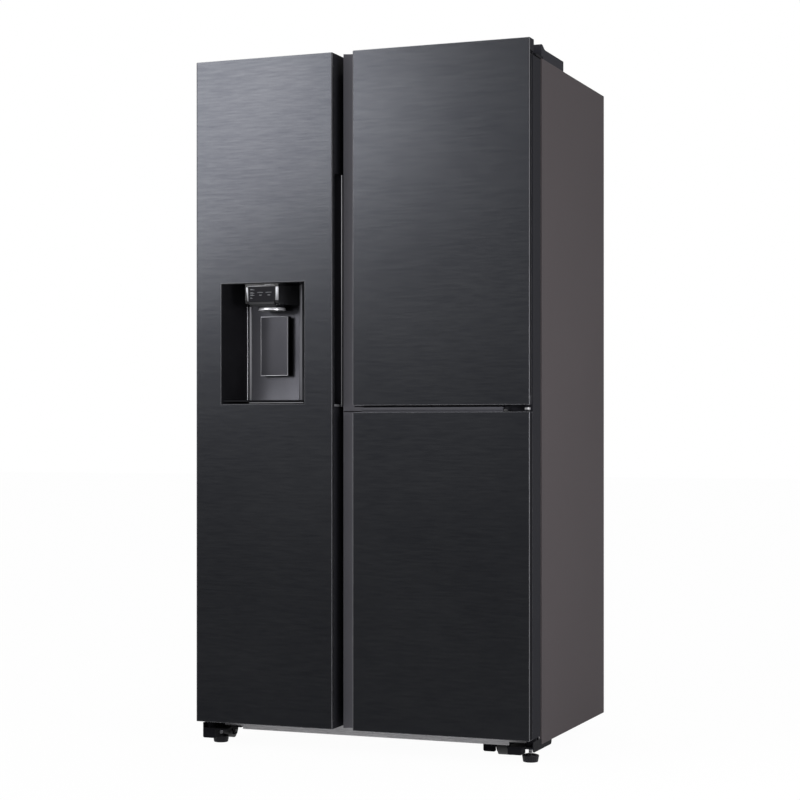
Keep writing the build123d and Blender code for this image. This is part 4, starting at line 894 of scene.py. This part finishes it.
@dataclass
class Dispenser(Assembly):
    """The niche with its display, chute and paddle in the freezer door."""

    body: str = "freezer_door"
    housing_wall: float = 2.5
    frame_wall: float = 2.3        # thin light frame round the mouth of the niche: painted highlight of its edge
    lip_start: float = 78.0        # where the painted highlight on the lower lip starts
    back_left: float = 49.6        # the back is narrower than the mouth
    back_right: float = 49.2
    tray_top: float = 6.6
    back_sag: tuple[float, float, float, float] = (6.0, 2.0, 4.0, 0.2)
    bead_radius: float = 1.3       # bead and band down the back left corner
    bead_place: Span = (39.6, -16.4)     # from the mouth's left edge and from the back
    band_width: float = 5.6
    band_depth: float = 12.0
    wing: Span = (1.0, 1.8)        # the side panel's front edge, outside the mouth
    trim_proud: float = 0.9        # silver trims before the head
    left_trim: float = 5.4
    right_trim: float = 8.5
    collar_drop: float = 3.4       # the bright collar hangs a little below the chute's rim
    collar_height: float = 7.6
    collar_hole: float = 9.0       # from the collar's rim in to its hole
    paddle_rim: float = 1.2
    paddle_sag: tuple[float, float, float, float] = (3.4, 0.2, 0.3, 0.0)

    def build(self) -> None:
        """Builds the niche's frame and lining, then display, chute and paddle."""
        self.x, _, self.z = (inset(span, self.housing_wall)
                             for span in spans("dispenser_housing"))
        self.front = spans("freezer_door_skin")[1][0]
        _, (self.face, self.back), (self.head_foot, _) = spans("dispenser_head")
        self.back_x = (self.x[0] + self.back_left, self.x[1] - self.back_right)
        self.build_niche()
        self.build_corner()
        self.build_display()
        self.build_marks()
        self.build_chute()
        self.build_paddle()

    def build_niche(self) -> None:
        """Light frame inside the mouth and light lower lip, painted highlight of their edges, and
        the satin back and right side.
        """
        frame = Form().ring(inset(self.x, -self.frame_wall), inset(self.z, -self.frame_wall),
                            self.frame_wall, around(self.front, 0.02, 0.9))
        self.add("niche_frame", frame, NICHE_EDGE_HIGHLIGHT)
        lip = Form().block((self.x[0] + self.lip_start, self.x[1] - 1.0),
                           around(self.front, 0.6, 3.6), around(self.z[0], 0.2, 2.2), 0.9, 3)
        self.add("niche_lip", lip, NICHE_EDGE_HIGHLIGHT)
        foot = self.z[0] + self.tray_top
        panel = Form().dish(self.back_x, (foot, self.head_foot - 0.3), self.back - 0.9, 0.7,
                            self.back_sag)
        self.add("niche_back_panel", panel, SATIN_PANEL)
        x, y, mouth = self.back_x[1], self.back - 0.4, self.front + 1.1
        inner, outer = around(self.x[1], *self.wing)
        side = Form().plate([(x + 0.2, y - 3.4), (inner, mouth), (outer, mouth),
                             (x + 0.8, y - 2.2)], (foot, self.z[1] - 1.6), Axis.Z, 0.0)
        self.add("niche_side_panel", side, SATIN_CHEEK)

    def build_corner(self) -> None:
        """A bead and a lighter band, which paints the highlight of a curved corner, run down where
        the left wall meets the back.
        """
        foot, top = self.z[0] + self.tray_top + 0.4, self.head_foot - 0.5
        rise, along = top - foot, self.bead_place
        bead = Form().turned([(0.0, 0.0), (self.bead_radius, 0.4), (self.bead_radius, rise),
                              (0.0, rise)],
                             (self.x[0] + along[0], self.back + along[1], foot), Axis.Z, 20)
        self.add("niche_corner_bead", bead, SATIN_EDGE)
        # The band is a flat lighter strip that paints the highlight of a curved corner.
        edge = self.back_x[0] - 1.0
        band = Form().block(around(edge, -self.band_width, 0.0),
                            around(self.back, -self.band_depth, -0.1), (foot, top), 1.2, 3)
        self.add("niche_corner_highlight_band", band, SATIN_BAND)

    def build_display(self) -> None:
        """Silver trims round the display glass and the lip below it."""
        (left, right), _, (foot, top) = spans("dispenser_display")
        depth = around(self.face, -self.trim_proud, 0.2)
        low, high, start = foot + 1.0, top - 0.5, right + 2.6
        sides = Form().plate([(left - 3.6, low), (left - 0.4, low), (left - 2.4, high),
                              (left - 2.4 - self.left_trim, high)], depth, Axis.Y)
        sides.block(around(start, 0.0, self.right_trim), depth, (low + 1.5, high))
        self.add("display_side_trims", sides, SILVER_CHEEK)
        above = Form().block((left - 5.0, right + 1.0), depth, around(top, 1.6, 2.6), 0.3)
        above.block(around(right, -30.0, -1.0), depth, around(top, 4.4, 5.4), 0.3)
        self.add("display_top_trims", above, SATIN_EDGE)
        face, chin = self.face, self.head_foot - 5.6
        lip = Form().plate([(face - 0.6, foot - 0.6), (face + 9.0, chin), (face + 12.0, chin),
                            (face + 12.0, self.head_foot + 0.2),
                            (face + 0.2, self.head_foot + 0.2), (face + 0.2, foot - 0.6)],
                           inset((left, right), 1.0), Axis.X, 0.3)
        self.add("display_lower_lip", lip, BLACK_PLASTIC)

    def build_marks(self) -> None:
        """Generic bars and dots on the display glass that say nothing."""
        (left, _), (face, _), (_, top) = spans("dispenser_display")
        depth = around(face, -0.12, 0.1)
        marks = Form()
        for drop, width in ((7.0, 11.5), (15.5, 11.5), (21.5, 11.5), (29.0, 6.0)):
            row = around(left + 5.0, 0.0, width)
            marks.block(row, depth, around(top - drop, -1.0, 0.0), 0.0)
            marks.block(around(row[0], 0.0, width * 0.6), depth, around(top - drop, 0.6, 1.4), 0.0)
        for x, width in ((left + 26.0, 15.0), (left + 49.0, 17.0)):
            step = width / 5
            for index in range(5):
                marks.block(around(x + index * step, 0.0, step * 0.62), depth,
                            around(top, -15.4, -13.8), 0.0)
            marks.block(around(x, width * 0.3, width * 0.75), depth, around(top, -22.4, -21.0),
                        0.0)
        self.add("display_marks", marks, MARK_GREY)

    def build_chute(self) -> None:
        """A bright flared collar with a dark neck, a funnel and the water nozzle in it."""
        x, y, z = spans("dispenser_chute")
        centre = Vector((middle(x), middle(y), z[0] - self.collar_drop))
        rim, rise, drop = (x[1] - x[0]) / 2, self.collar_height, z[1] - centre.z
        hole = rim - self.collar_hole
        top = rise - 0.1
        collar = Form().turned([(hole, top), (rim - 1.6, top), (rim - 1.0, rise - 0.8), (rim, 2.4),
                                (rim - 0.3, 0.5), (rim - 1.4, 0.05), (rim - 4.0, 0.4),
                                (rim - 7.4, 2.2), (hole - 0.2, rise - 1.8), (hole, top)],
                               centre, Axis.Z, 64)
        self.add("chute_collar", collar, BRIGHT_METAL, replaces=("dispenser_chute",))
        neck = Form().turned([(hole, rise - 0.3), (rim - 1.4, rise - 0.3), (rim + 1.0, drop - 1.0),
                              (rim + 1.0, drop), (hole, drop)], centre, Axis.Z, 64)
        self.add("chute_neck", neck, HOUSING_BLACK)
        mouth, top = (hole - 0.6, 0.6), drop - 0.2
        funnel = Form().turned([mouth, (hole - 0.9, 0.6), (hole - 7.0, top), (hole - 6.0, top),
                                mouth], centre, Axis.Z, 48)
        funnel.turned([(4.6, 3.0), (5.4, 3.6), (5.4, top), (3.6, top), (3.6, 3.0), (4.6, 3.0)],
                      centre + Vector((11.0, 3.0, 0.0)), Axis.Z, 24)
        self.add("chute_funnel", funnel, BLACK_PLASTIC)

    def build_paddle(self) -> None:
        """A hollowed satin face and a thin bright edge round the paddle."""
        x, (front, _), z = spans("dispenser_paddle")
        edge = Form().ring(inset(x, 0.2), inset(z, 0.2), self.paddle_rim,
                           around(front, -3.6, 1.6), 0.3)
        self.add("paddle_edge", edge, SATIN_EDGE, body="dispenser_paddle")
        face = Form().dish(inset(x, self.paddle_rim), inset(z, self.paddle_rim), front - 0.1, 0.8,
                           self.paddle_sag)
        self.add("paddle_face", face, SATIN_PANEL, body="dispenser_paddle")


@dataclass
class Door(Assembly):
    """A full-height door leaf with shelves on its back."""

    first_rim: float = 105.0       # of the lowest shelf, above the foot of the shelves
    rim_pitch: float = 237.0

    def lower_rims(self) -> list[float]:
        """Gives the heights of the rims of the three lower shelves."""
        foot = spans(f"{self.body}_bins")[2][0]
        return [foot + self.first_rim + step * self.rim_pitch for step in range(3)]

    def add_rails(self, name: str, rows: list[tuple[float, Span]]) -> None:
        """Adds a bright rail along the rim of each door shelf.

        Args:
            name: Name of the piece.
            rows: Height of each rim, and the rail's span along X.
        """
        back = spans(f"{self.body}_bins")[1][1]
        rails = Form()
        for height, reach in rows:
            rails.block(reach, around(back, -4.2, -0.2), around(height, -5.0, 0.4), 1.2, 3)
        self.add(name, rails, SILVER_TRIM)


@dataclass
class FreezerDoor(Door):
    """Handle pocket, door shelves and ice maker of the freezer door."""

    body: str = "freezer_door"
    bead: float = 2.4              # how far the handle's bead stands out of the side
    maker_margin: float = 10.0     # of the line round the ice maker's front
    maker_foot: float = 48.0
    maker_top: float = 38.0

    def build(self) -> None:
        """Builds painted highlights on the steel's edges, the shelves' rails, the handle and the ice
        maker's front.
        """
        self.add_edges("freezer_door_skin")
        reach, _, (_, top) = spans("freezer_door_bins")
        self.add_rails("freezer_bin_rails", [(rim, inset(reach, 0.6))
                                             for rim in self.lower_rims() + [top]])
        self.build_handle()
        x, (_, back), z = spans("ice_maker")
        foot = z[0] + self.maker_foot
        front = Form().ring(inset(x, self.maker_margin), (foot, z[1] - self.maker_top), 1.2,
                            around(back, -0.2, 0.3), 0.1)
        front.block(inset(x, 96.0), around(back, -0.2, 1.0), around(foot, 10.0, 14.0), 0.6)
        self.add("ice_maker_lines", front, SILVER_TRIM)

    def build_handle(self) -> None:
        """A bead down the inner edge of the handle pocket, and another along its foot."""
        side = spans("freezer_door_skin")[0][1]
        _, (front, back), z = spans("handle_trim")
        proud = side + self.bead
        bead = Form().plate([(side - 1.0, back - 5.8), (proud, back - 4.6), (proud, back - 0.4),
                             (side - 1.0, back - 0.4)], inset(z, 0.2), Axis.Z, 0.35)
        self.add("handle_bead", bead, BEAD_METAL)
        foot = Form().block(around(side, -0.8, 1.2), (front + 0.6, back - 5.2),
                            around(z[0], 0.4, 5.6), 1.0, 3)
        self.add("handle_foot_bead", foot, SATIN_BAND)


@dataclass
class FridgeDoor(Door):
    """Strip at the split, hinge bush and door shelves of the fridge door."""

    body: str = "fridge_door"
    strip_height: Span = (4.5, 12.5)     # above the lower steel
    latch_x: Span = (387.0, 397.0)
    hollow_radius: float = 70.3          # the grip moulding's hollow face
    hollow_depth: float = 8.0
    hollow_offset: float = 32.4
    pin_inset: float = 9.0               # the showcase hinge's axis behind the steel's right edge
    pin_depth: float = 11.0
    upper_pitch: float = 250.0           # the shelves that the showcase door uncovers
    upper_reach: Span = (31.0, 369.0)

    def build(self) -> None:
        """Builds the strip between the two steel panels, its hardware and the rails."""
        self.build_split()
        reach, _, (_, top) = spans("fridge_door_bins")
        rows = [(rim, inset(reach, 0.6)) for rim in self.lower_rims()]
        rows += [(top - step * self.upper_pitch, self.upper_reach) for step in range(3)]
        self.add_rails("fridge_bin_rails", rows)

    def build_split(self) -> None:
        """Strip, black strips of painted shadow at the gaps, latch and hinge bush between the lower
        and the upper steel.
        """
        (_, right), (front, frame), (_, split) = spans("fridge_door_skin")
        grip = spans("fridge_door_moulding")[0]
        reach = (grip[1] - 0.2, self.latch_x[0] - 2.0)
        low, high = around(split, *self.strip_height)
        strip = Form().block(reach, (front + 7.5, frame - 0.1), (low, high), 0.8, 3)
        strip.block(reach, (front + 10.5, frame - 0.1), (split + 0.1, low + 0.5), 0.2)
        self.add("split_strip", strip, SPLIT_STRIP)
        # Black strips on the moulding's hollow face paint the shadow of the gaps above and below the
        # strip.
        gaps = Form()
        for start, height in ((0.5, (1.6, 3.9)), (28.0, (14.0, 16.8))):
            gaps.plate(self.groove(grip[0] + start, reach[0]), around(split, *height), Axis.Z, 0.0)
        self.add("split_painted_shadow_lines", gaps, PAINTED_GAP_SHADOW)
        self.add_edges("fridge_door_skin")
        y, foot, top = (front + 9.0, front + 16.0, frame - 0.1), split + 0.6, split + 14.0
        latch = Form().plate([(y[0], foot), (y[2], foot), (y[2], top), (y[1], top),
                              (y[0], split + 6.0)], self.latch_x, Axis.X, 0.8)
        self.add("split_latch", latch, BLACK_PLASTIC)
        bush = Form().turned([(4.0, 0.0), (7.0, 0.2), (7.4, 1.2), (7.4, 5.8), (6.6, 6.8),
                              (4.0, 7.0)],
                             (right - self.pin_inset, front + self.pin_depth, split + 4.2))
        self.add("showcase_bush", bush, ZINC)

    def groove(self, start: float, end: float) -> list[Span]:
        """Outline of a thin band that follows the hollow face of the grip moulding.

        Args:
            start: X of its left end.
            end: X of its right end.

        Returns:
            Corners in the plane across Z.
        """
        grip, depth, _ = spans("fridge_door_moulding")
        centre_x = grip[0] + self.hollow_offset
        centre_y = depth[0] + self.hollow_depth - self.hollow_radius
        steps = [start + index * (end - start) / 8 for index in range(9)]
        face = [(x, centre_y + math.sqrt(self.hollow_radius ** 2 - (x - centre_x) ** 2))
                for x in steps]
        return [(x, y - 0.4) for x, y in face] + [(x, y + 1.5) for x, y in reversed(face)]


@dataclass
class ShowcaseDoor(Assembly):
    """White inner panel on the back of the thin outer door."""

    body: str = "showcase_door"
    panel_x: Span = (44.0, 356.0)
    panel_z: Span = (944.0, 1666.0)
    border: float = 10.0

    def build(self) -> None:
        """Builds the panel and its raised border."""
        self.add_edges("showcase_door_skin")
        back = spans("showcase_door_core")[1][1]
        panel = Form().block(self.panel_x, around(back, -0.2, 1.0), self.panel_z, 0.9, 3)
        panel.ring(inset(self.panel_x, 13.0), inset(self.panel_z, 13.0), self.border,
                   around(back, 0.4, 2.6), 0.9, 3)
        self.add("showcase_inner_panel", panel, LINER)


@dataclass
class Cabinet(Assembly):
    """Screws of the covers and the back, shelf trims, duct slats and the machine compartment."""

    freezer_shelves: tuple[float, ...] = (580.0, 800.0, 1020.0, 1240.0, 1460.0)
    fridge_shelves: tuple[float, ...] = (590.0, 780.0, 990.0, 1200.0, 1450.0)
    nose_depth: Span = (-0.5, 3.0)     # about a shelf's front edge
    nose_height: Span = (-0.5, 11.6)
    rail_height: Span = (5.2, 16.6)    # along a shelf's back
    runner_height: Span = (4.9, 6.4)   # along a shelf's sides
    runner_width: float = 10.0
    outlet_rise: float = 120.0         # of the air outlets above the freezer's shelves
    outlet_half: float = 29.8
    slat_pitch: float = 3.0
    grip_depth: Span = (3.6, 22.4)     # of a drawer's grip edge behind its front
    screw_inset: float = 9.0
    screw_sink: float = 3.0
    panel_screws: tuple[float, ...] = (-200.0, 0.0, 200.0)
    panel_rows: int = 6
    cover_screws: tuple[float, ...] = (-120.0, 120.0)
    fin_pitch: float = 6.8
    fin_wall: float = 0.5
    fins_end: float = 306.0

    def build(self) -> None:
        """Builds the inside first, then the back and the machine compartment."""
        self.build_shelf_trims("freezer_shelves", self.freezer_shelves)
        self.build_shelf_trims("fridge_shelves", self.fridge_shelves)
        self.build_duct_slats()
        self.build_drawer_trims()
        self.build_screws()
        self.build_condenser()
        self.build_compressor()

    def build_shelf_trims(self, node: str, heights: tuple[float, ...]) -> None:
        """A silver nose along each glass shelf and a white rail round its other edges.

        Args:
            node: The shelves' node.
            heights: Heights of the shelves.
        """
        x, y, _ = spans(node)
        reach = inset(x, 0.4)
        noses, rails = Form(), Form()
        for height in heights:
            noses.block(reach, around(y[0], *self.nose_depth), around(height, *self.nose_height),
                        1.4, 3)
            rails.block(reach, around(y[1], -5.6, 0.5), around(height, *self.rail_height), 1.4, 3)
            for edge in (x[0] + 1.0, x[1] - 1.0 - self.runner_width):
                rails.block(around(edge, 0.0, self.runner_width), (y[0] + 13.0, y[1] - 6.0),
                            around(height, *self.runner_height), 0.5)
        self.add(f"{node}_noses", noses, SILVER_TRIM)
        self.add(f"{node}_rails", rails, WHITE_PLASTIC)

    def build_duct_slats(self) -> None:
        """Three slats in each outlet of the cold-air ducts."""
        front = spans("air_ducts")[1][0]
        slats = Form()
        places = [middle(spans(liner)[0]) + side * half
                  for liner, half in (("freezer_liner", 70.0), ("fridge_liner", 46.0))
                  for side in (-1, 1)]
        for x in places:
            for height in self.freezer_shelves:
                for step in (-1, 0, 1):
                    z = height + self.outlet_rise + step * self.slat_pitch
                    slats.plate([(front + 0.6, z - 0.4), (front + 6.5, z + 1.0),
                                 (front + 6.5, z + 1.6), (front + 0.6, z + 0.2)],
                                around(x, -self.outlet_half, self.outlet_half), Axis.X, 0.0)
        self.add("duct_slats", slats, WHITE_PLASTIC)

    def build_drawer_trims(self) -> None:
        """A silver grip edge along the front of each drawer."""
        for name in ("freezer_drawer_lower", "freezer_drawer_upper", "fridge_drawer_lower",
                     "fridge_drawer_upper"):
            x, y, z = spans(name)
            trim = Form().block(inset(x, 6.4), around(y[0], *self.grip_depth),
                                around(z[1], -1.0, 0.8), 0.8, 3)
            self.add(f"{name}_trim", trim, SILVER_TRIM, body=name)

    def build_screws(self) -> None:
        """Screws of the hinge covers, the back panel and the machine cover."""
        covers, back = Form(), Form()
        for side in Side:
            x, y, z = spans(f"hinge_cover_{side.value}")
            self.screw(covers, (middle(x), y[1] - 40.0, z[1] - 10.0), Axis.Z, 4.5)
        self.add("hinge_cover_screws", covers, SCREW)
        x, (_, rear), (foot, top) = spans("back_panel")
        sides = inset(x, self.screw_inset)
        y, rise = rear - self.screw_sink, (top - foot) / self.panel_rows
        places = [(x, y, top - 10.0) for x in (sides[0], *self.panel_screws, sides[1])]
        places += [(x, y, foot + step * rise) for x in sides for step in range(1, self.panel_rows)]
        x, (_, rear), (foot, top) = spans("machine_cover")
        sides = inset(x, 12.0)
        places += [(x, rear - 2.2, z) for x in (sides[0], *self.cover_screws, sides[1])
                   for z in (foot + self.screw_inset, top - 12.0)]
        for place in places:
            self.screw(back, place)
        self.add("back_screws", back, SCREW)

    def build_condenser(self) -> None:
        """The condenser's fine fins."""
        (left, _), y, z = spans("condenser")
        fins = Form()
        for index in range(int(self.fins_end / self.fin_pitch)):
            fins.block(around(left + 2.0 + index * self.fin_pitch, 0.0, self.fin_wall),
                       inset(y, 1.5), inset(z, 1.5), 0.0)
        self.add("condenser_fins", fins, FINS)

    def build_compressor(self) -> None:
        """The compressor's terminal box and its two pipes."""
        x, y, (foot, top) = spans("compressor")
        centre = Vector((middle(x), middle(y), top))
        box = Form().block(around(centre.x, -34.0, 34.0), around(y[1], -8.0, 14.0),
                           around(foot, 70.0, 138.0), 5.0, 3)
        box.block(around(centre.x, -26.0, 26.0), around(y[1], 13.0, 16.0),
                  around(foot, 78.0, 130.0), 1.2)
        self.add("compressor_terminal_box", box, BLACK_PLASTIC)
        pipes = {"suction": (5.0, -30.0, ((-60, -60), (-110, -60), (-124, -58), (-126, 10),
                                          (-126, 44))),
                 "discharge": (3.2, 30.0, ((-50, -120), (-100, -120), (-150, -120), (-160, -100),
                                           (-160, 20), (-160, 44)))}
        for name, (radius, depth, run) in pipes.items():
            route = [centre + Vector((across, depth, up)) for across, up in run]
            self.shop.pipe(f"compressor_{name}_pipe", route, radius, COPPER, self.body)


@dataclass
class Undercarriage(Assembly):
    """Levelling feet with their studs and washers, and the clips of the base cover."""

    foot_rise: float = 21.0
    flutes: int = 20
    flute_depth: float = 0.9
    stud_radius: float = 5.0
    pitch: float = 1.5
    washer_height: float = 40.0
    clip_width: float = 26.0       # dark clips at the ends of the base cover, painted shade

    def build(self) -> None:
        """Builds both feet, then the clips."""
        for side in Side:
            self.build_foot(side)
            self.build_stud(side)
        self.build_clips()

    def build_clips(self) -> None:
        """Dark clips over the two ends of the base cover, where shade falls: painted shade."""
        x, y, z = spans("base_cover")
        clips = Form()
        for end in ((x[0] - 0.4, x[0] + self.clip_width), (x[1] - self.clip_width, x[1] + 0.4)):
            clips.block(end, around(y[0], -1.8, 0.2), (z[0] + 3.0, z[1] + 0.4), 0.6)
        self.add("base_cover_shade_clips", clips, BLACK_STEEL)

    def build_foot(self, side: Side) -> None:
        """A fluted foot, tapered to the floor.

        Args:
            side: The side that it stands on.
        """
        node = f"foot_{side.value}"
        x, y, _ = spans(node)
        centre = Vector((middle(x), middle(y), 0.0))
        rim, rise = (x[1] - x[0]) / 2, self.foot_rise
        foot = Form().turned([(0.0, 0.2), (rim - 4.6, 0.2), (rim - 3.2, 0.6), (rim - 2.4, 2.0),
                              (rim - 0.6, rise - 8.0), (rim, rise - 6.4), (rim, rise - 4.6),
                              (rim - 0.8, rise - 3.4), (rim - 6.0, rise - 1.6), (9.0, rise),
                              (4.0, rise), (0.0, rise)], centre, Axis.Z, 4 * self.flutes)
        for vert in foot.bm.verts:
            offset = vert.co - centre
            away = math.hypot(offset.x, offset.y)
            if away > rim - 3.5 and offset.z < rise - 4.0:
                wave = math.cos(self.flutes * math.atan2(offset.y, offset.x))
                dip = self.flute_depth * max(0.0, wave) / away
                vert.co -= Vector((dip * offset.x, dip * offset.y, 0.0))
        self.add(f"foot_pad_{side.value}", foot, FOOT_PLASTIC, node, (node,))

    def build_stud(self, side: Side) -> None:
        """The foot's threaded stud, and the washer above it.

        Args:
            side: The side that it stands on.
        """
        node = f"foot_{side.value}"
        x, y, (_, top) = spans(node)
        centre = (middle(x), middle(y), 0.0)
        foot, root = self.foot_rise - 1.0, self.stud_radius - 0.7
        profile = [(0.0, foot)]
        for step in range(int((top - self.foot_rise) / self.pitch)):
            height = foot + step * self.pitch
            profile += [(root, height), (self.stud_radius, height + self.pitch / 2)]
        profile += [(self.stud_radius - 0.9, top - 0.2), (0.0, top - 0.1)]
        stud = Form().turned(profile, centre, Axis.Z, 28)
        self.add(f"foot_stud_{side.value}", stud, PALE_ZINC, node)
        low, high = around(self.washer_height, -1.6, -0.1)
        washer = Form().turned([(6.2, high), (6.2, low), (11.2, low), (11.6, low + 0.4),
                                (11.6, high), (6.2, high)], centre, Axis.Z, 40)
        self.add(f"foot_washer_{side.value}", washer, PALE_ZINC)


# ------------------------------------------------------------------ studio
@dataclass(frozen=True)
class Softbox:
    """A rectangular area light, in metres and watts."""

    name: str
    place: Point
    target: Point
    size: Span
    power: float
    roll: float = 0.0              # turn about the line to its target; lowers its left side

    def build(self) -> None:
        """Adds the light, turned to its target."""
        data = bpy.data.lights.new(self.name, "AREA")
        data.shape = "RECTANGLE"
        data.size, data.size_y = self.size
        data.energy = self.power
        light = put(self.name, data)
        light.location = self.place
        light.visible_camera = False
        aim = (Vector(self.target) - Vector(self.place)).to_track_quat("-Z", "Y")
        light.rotation_euler = (aim @ Quaternion((0.0, 0.0, 1.0), self.roll)).to_euler()


@dataclass
class Studio:
    """Floor, soft lights, grey card and camera."""

    floor_size: float = 60.0
    floor_grey: float = 0.95
    floor_roughness: float = 0.9
    floor_specular: float = 0.1
    floor_white: float = 0.97
    world_level: float = 0.65
    card_level: float = 0.4
    card_width: float = 16.0
    card_distance: float = 7.5
    card_height: float = 2.6
    card_start: float = -0.5
    card_lift: float = 0.003
    camera_place: Point = (1.874262, -5.062459, 0.829355)
    camera_turn: float = math.radians(22.196)
    lens: float = 89.457
    sensor: float = 36.0
    shift: Span = (0.0738, 0.0391)
    softboxes: tuple[Softbox, ...] = (
        Softbox("softbox_left", (-2.72, -4.71, 2.7), (-0.3, -0.36, 1.4), (1.85, 1.8), 106.0,
                math.radians(32.0)),
        Softbox("softbox_right", (2.0, -1.5, 1.0), (0.45, 0.0, 0.95), (0.7, 0.7), 25.0))

    def build(self) -> None:
        """Builds the whole studio."""
        self.build_floor()
        self.build_world()
        for softbox in self.softboxes:
            softbox.build()
        self.build_card()
        self.build_camera()
        bpy.context.scene.view_settings.view_transform = "Standard"

    def sheet(self, name: str, bm: bmesh.types.BMesh) -> tuple[Object, Tree]:
        """Makes a mesh into a piece of the studio with a node material.

        Args:
            name: Name of the piece.
            bm: Its mesh.

        Returns:
            The piece and its material's node tree.
        """
        mesh = bpy.data.meshes.new(name)
        bm.to_mesh(mesh)
        bm.free()
        paint = bpy.data.materials.new(f"studio_{name}")
        paint.use_nodes = True
        mesh.materials.append(paint)
        made = put(name, mesh)
        return made, paint.node_tree

    def build_floor(self) -> None:
        """A pale matt floor that is white to the camera and keeps the object's shadow."""
        bm = bmesh.new()
        bmesh.ops.create_grid(bm, x_segments=1, y_segments=1, size=self.floor_size / 2)
        _, tree = self.sheet("floor", bm)
        shader = tree.nodes["Principled BSDF"]
        shader.inputs["Base Color"].default_value = (*[self.floor_grey] * 3, 1.0)
        shader.inputs["Roughness"].default_value = self.floor_roughness
        shader.inputs["Specular IOR Level"].default_value = self.floor_specular
        share = add_node(tree, "Math", {0: self.seen_directly(tree), 1: self.floor_white},
                         operation="MULTIPLY")
        mix = add_node(tree, "MixShader", {0: share.outputs[0], 1: shader.outputs[0],
                                           2: add_node(tree, "Emission").outputs[0]})
        tree.links.new(mix.outputs[0], tree.nodes["Material Output"].inputs["Surface"])

    def seen_directly(self, tree: Tree) -> Socket:
        """Gives a socket that is 1 for camera, glossy and transmission rays.

        Args:
            tree: The node tree of the world or of a material.

        Returns:
            The socket.
        """
        path = add_node(tree, "LightPath").outputs
        total = path["Is Camera Ray"]
        for kind in ("Is Glossy Ray", "Is Transmission Ray"):
            total = add_node(tree, "Math", {0: total, 1: path[kind]}, operation="ADD",
                             use_clamp=True).outputs[0]
        return total

    def build_world(self) -> None:
        """White to the camera and in reflections, and a plain level for the light it gives."""
        world = bpy.data.worlds.new("studio")
        bpy.context.scene.world = world
        world.use_nodes = True
        tree = world.node_tree
        white = (1.0, 1.0, 1.0, 1.0)
        plain = tree.nodes["Background"]
        plain.inputs["Strength"].default_value = self.world_level
        plain.inputs["Color"].default_value = white
        shown = add_node(tree, "Background", {"Color": white, "Strength": 1.0})
        mix = add_node(tree, "MixShader", {0: self.seen_directly(tree), 1: plain.outputs[0],
                                           2: shown.outputs[0]})
        tree.links.new(mix.outputs[0], tree.nodes["World Output"].inputs["Surface"])

    def build_card(self) -> None:
        """A graded grey card low in front of the object, which only reflections see.

        It darkens the lower part of the steel, as a studio's black card does.
        """
        bm = bmesh.new()
        bmesh.ops.create_grid(bm, x_segments=1, y_segments=1, size=0.5)
        bmesh.ops.scale(bm, vec=(self.card_width, self.card_distance, 1.0), verts=bm.verts)
        centre = (0.0, self.card_start - self.card_distance / 2, self.card_lift)
        bmesh.ops.translate(bm, vec=centre, verts=bm.verts)
        far_edge = min(bm.edges, key=lambda edge: edge.verts[0].co.y + edge.verts[1].co.y)
        raised = bmesh.ops.extrude_edge_only(bm, edges=[far_edge])["geom"]
        corners = [part for part in raised if isinstance(part, bmesh.types.BMVert)]
        bmesh.ops.translate(bm, vec=(0.0, 0.0, self.card_height), verts=corners)
        card, tree = self.sheet("grey_card", bm)
        place = add_node(tree, "TexCoord").outputs["Object"]
        height = add_node(tree, "SeparateXYZ", {0: place}).outputs["Z"]
        level = add_node(tree, "MapRange", {"Value": height, "From Max": self.card_height,
                                            "To Min": self.card_level})
        glow = add_node(tree, "Emission", {"Strength": level.outputs[0]})
        tree.links.new(glow.outputs[0], tree.nodes["Material Output"].inputs["Surface"])
        for sight in ("camera", "diffuse", "transmission", "volume_scatter", "shadow"):
            setattr(card, f"visible_{sight}", False)

    def build_camera(self) -> None:
        """A level camera to the right of the front, at the height of the dispenser's foot."""
        data = bpy.data.cameras.new("camera")
        data.lens = self.lens
        data.sensor_width = self.sensor
        data.shift_x, data.shift_y = self.shift
        data.clip_end = 100.0
        camera = put("camera", data)
        camera.location = self.camera_place
        camera.rotation_euler = (math.pi / 2, 0.0, self.camera_turn)
        bpy.context.scene.camera = camera


def main() -> None:
    """Builds the scene and reports each step."""
    logging.basicConfig(level=logging.INFO, format="%(message)s")
    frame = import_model()
    shop = Workshop()
    Studio().build()
    slots = {row["node"]: row["material_slot"] for row in frame["record"]["subparts"]}
    for name, node in sorted(frame["nodes"].items()):
        shop.dress(node, NODE_FINISHES.get(name, SLOT_FINISHES[slots[name]]))
    for kind in (Dispenser, FreezerDoor, FridgeDoor, ShowcaseDoor, Cabinet, Undercarriage):
        log.info("%s", kind.__name__)
        kind(shop).build()


if __name__ == "__main__":
    main()
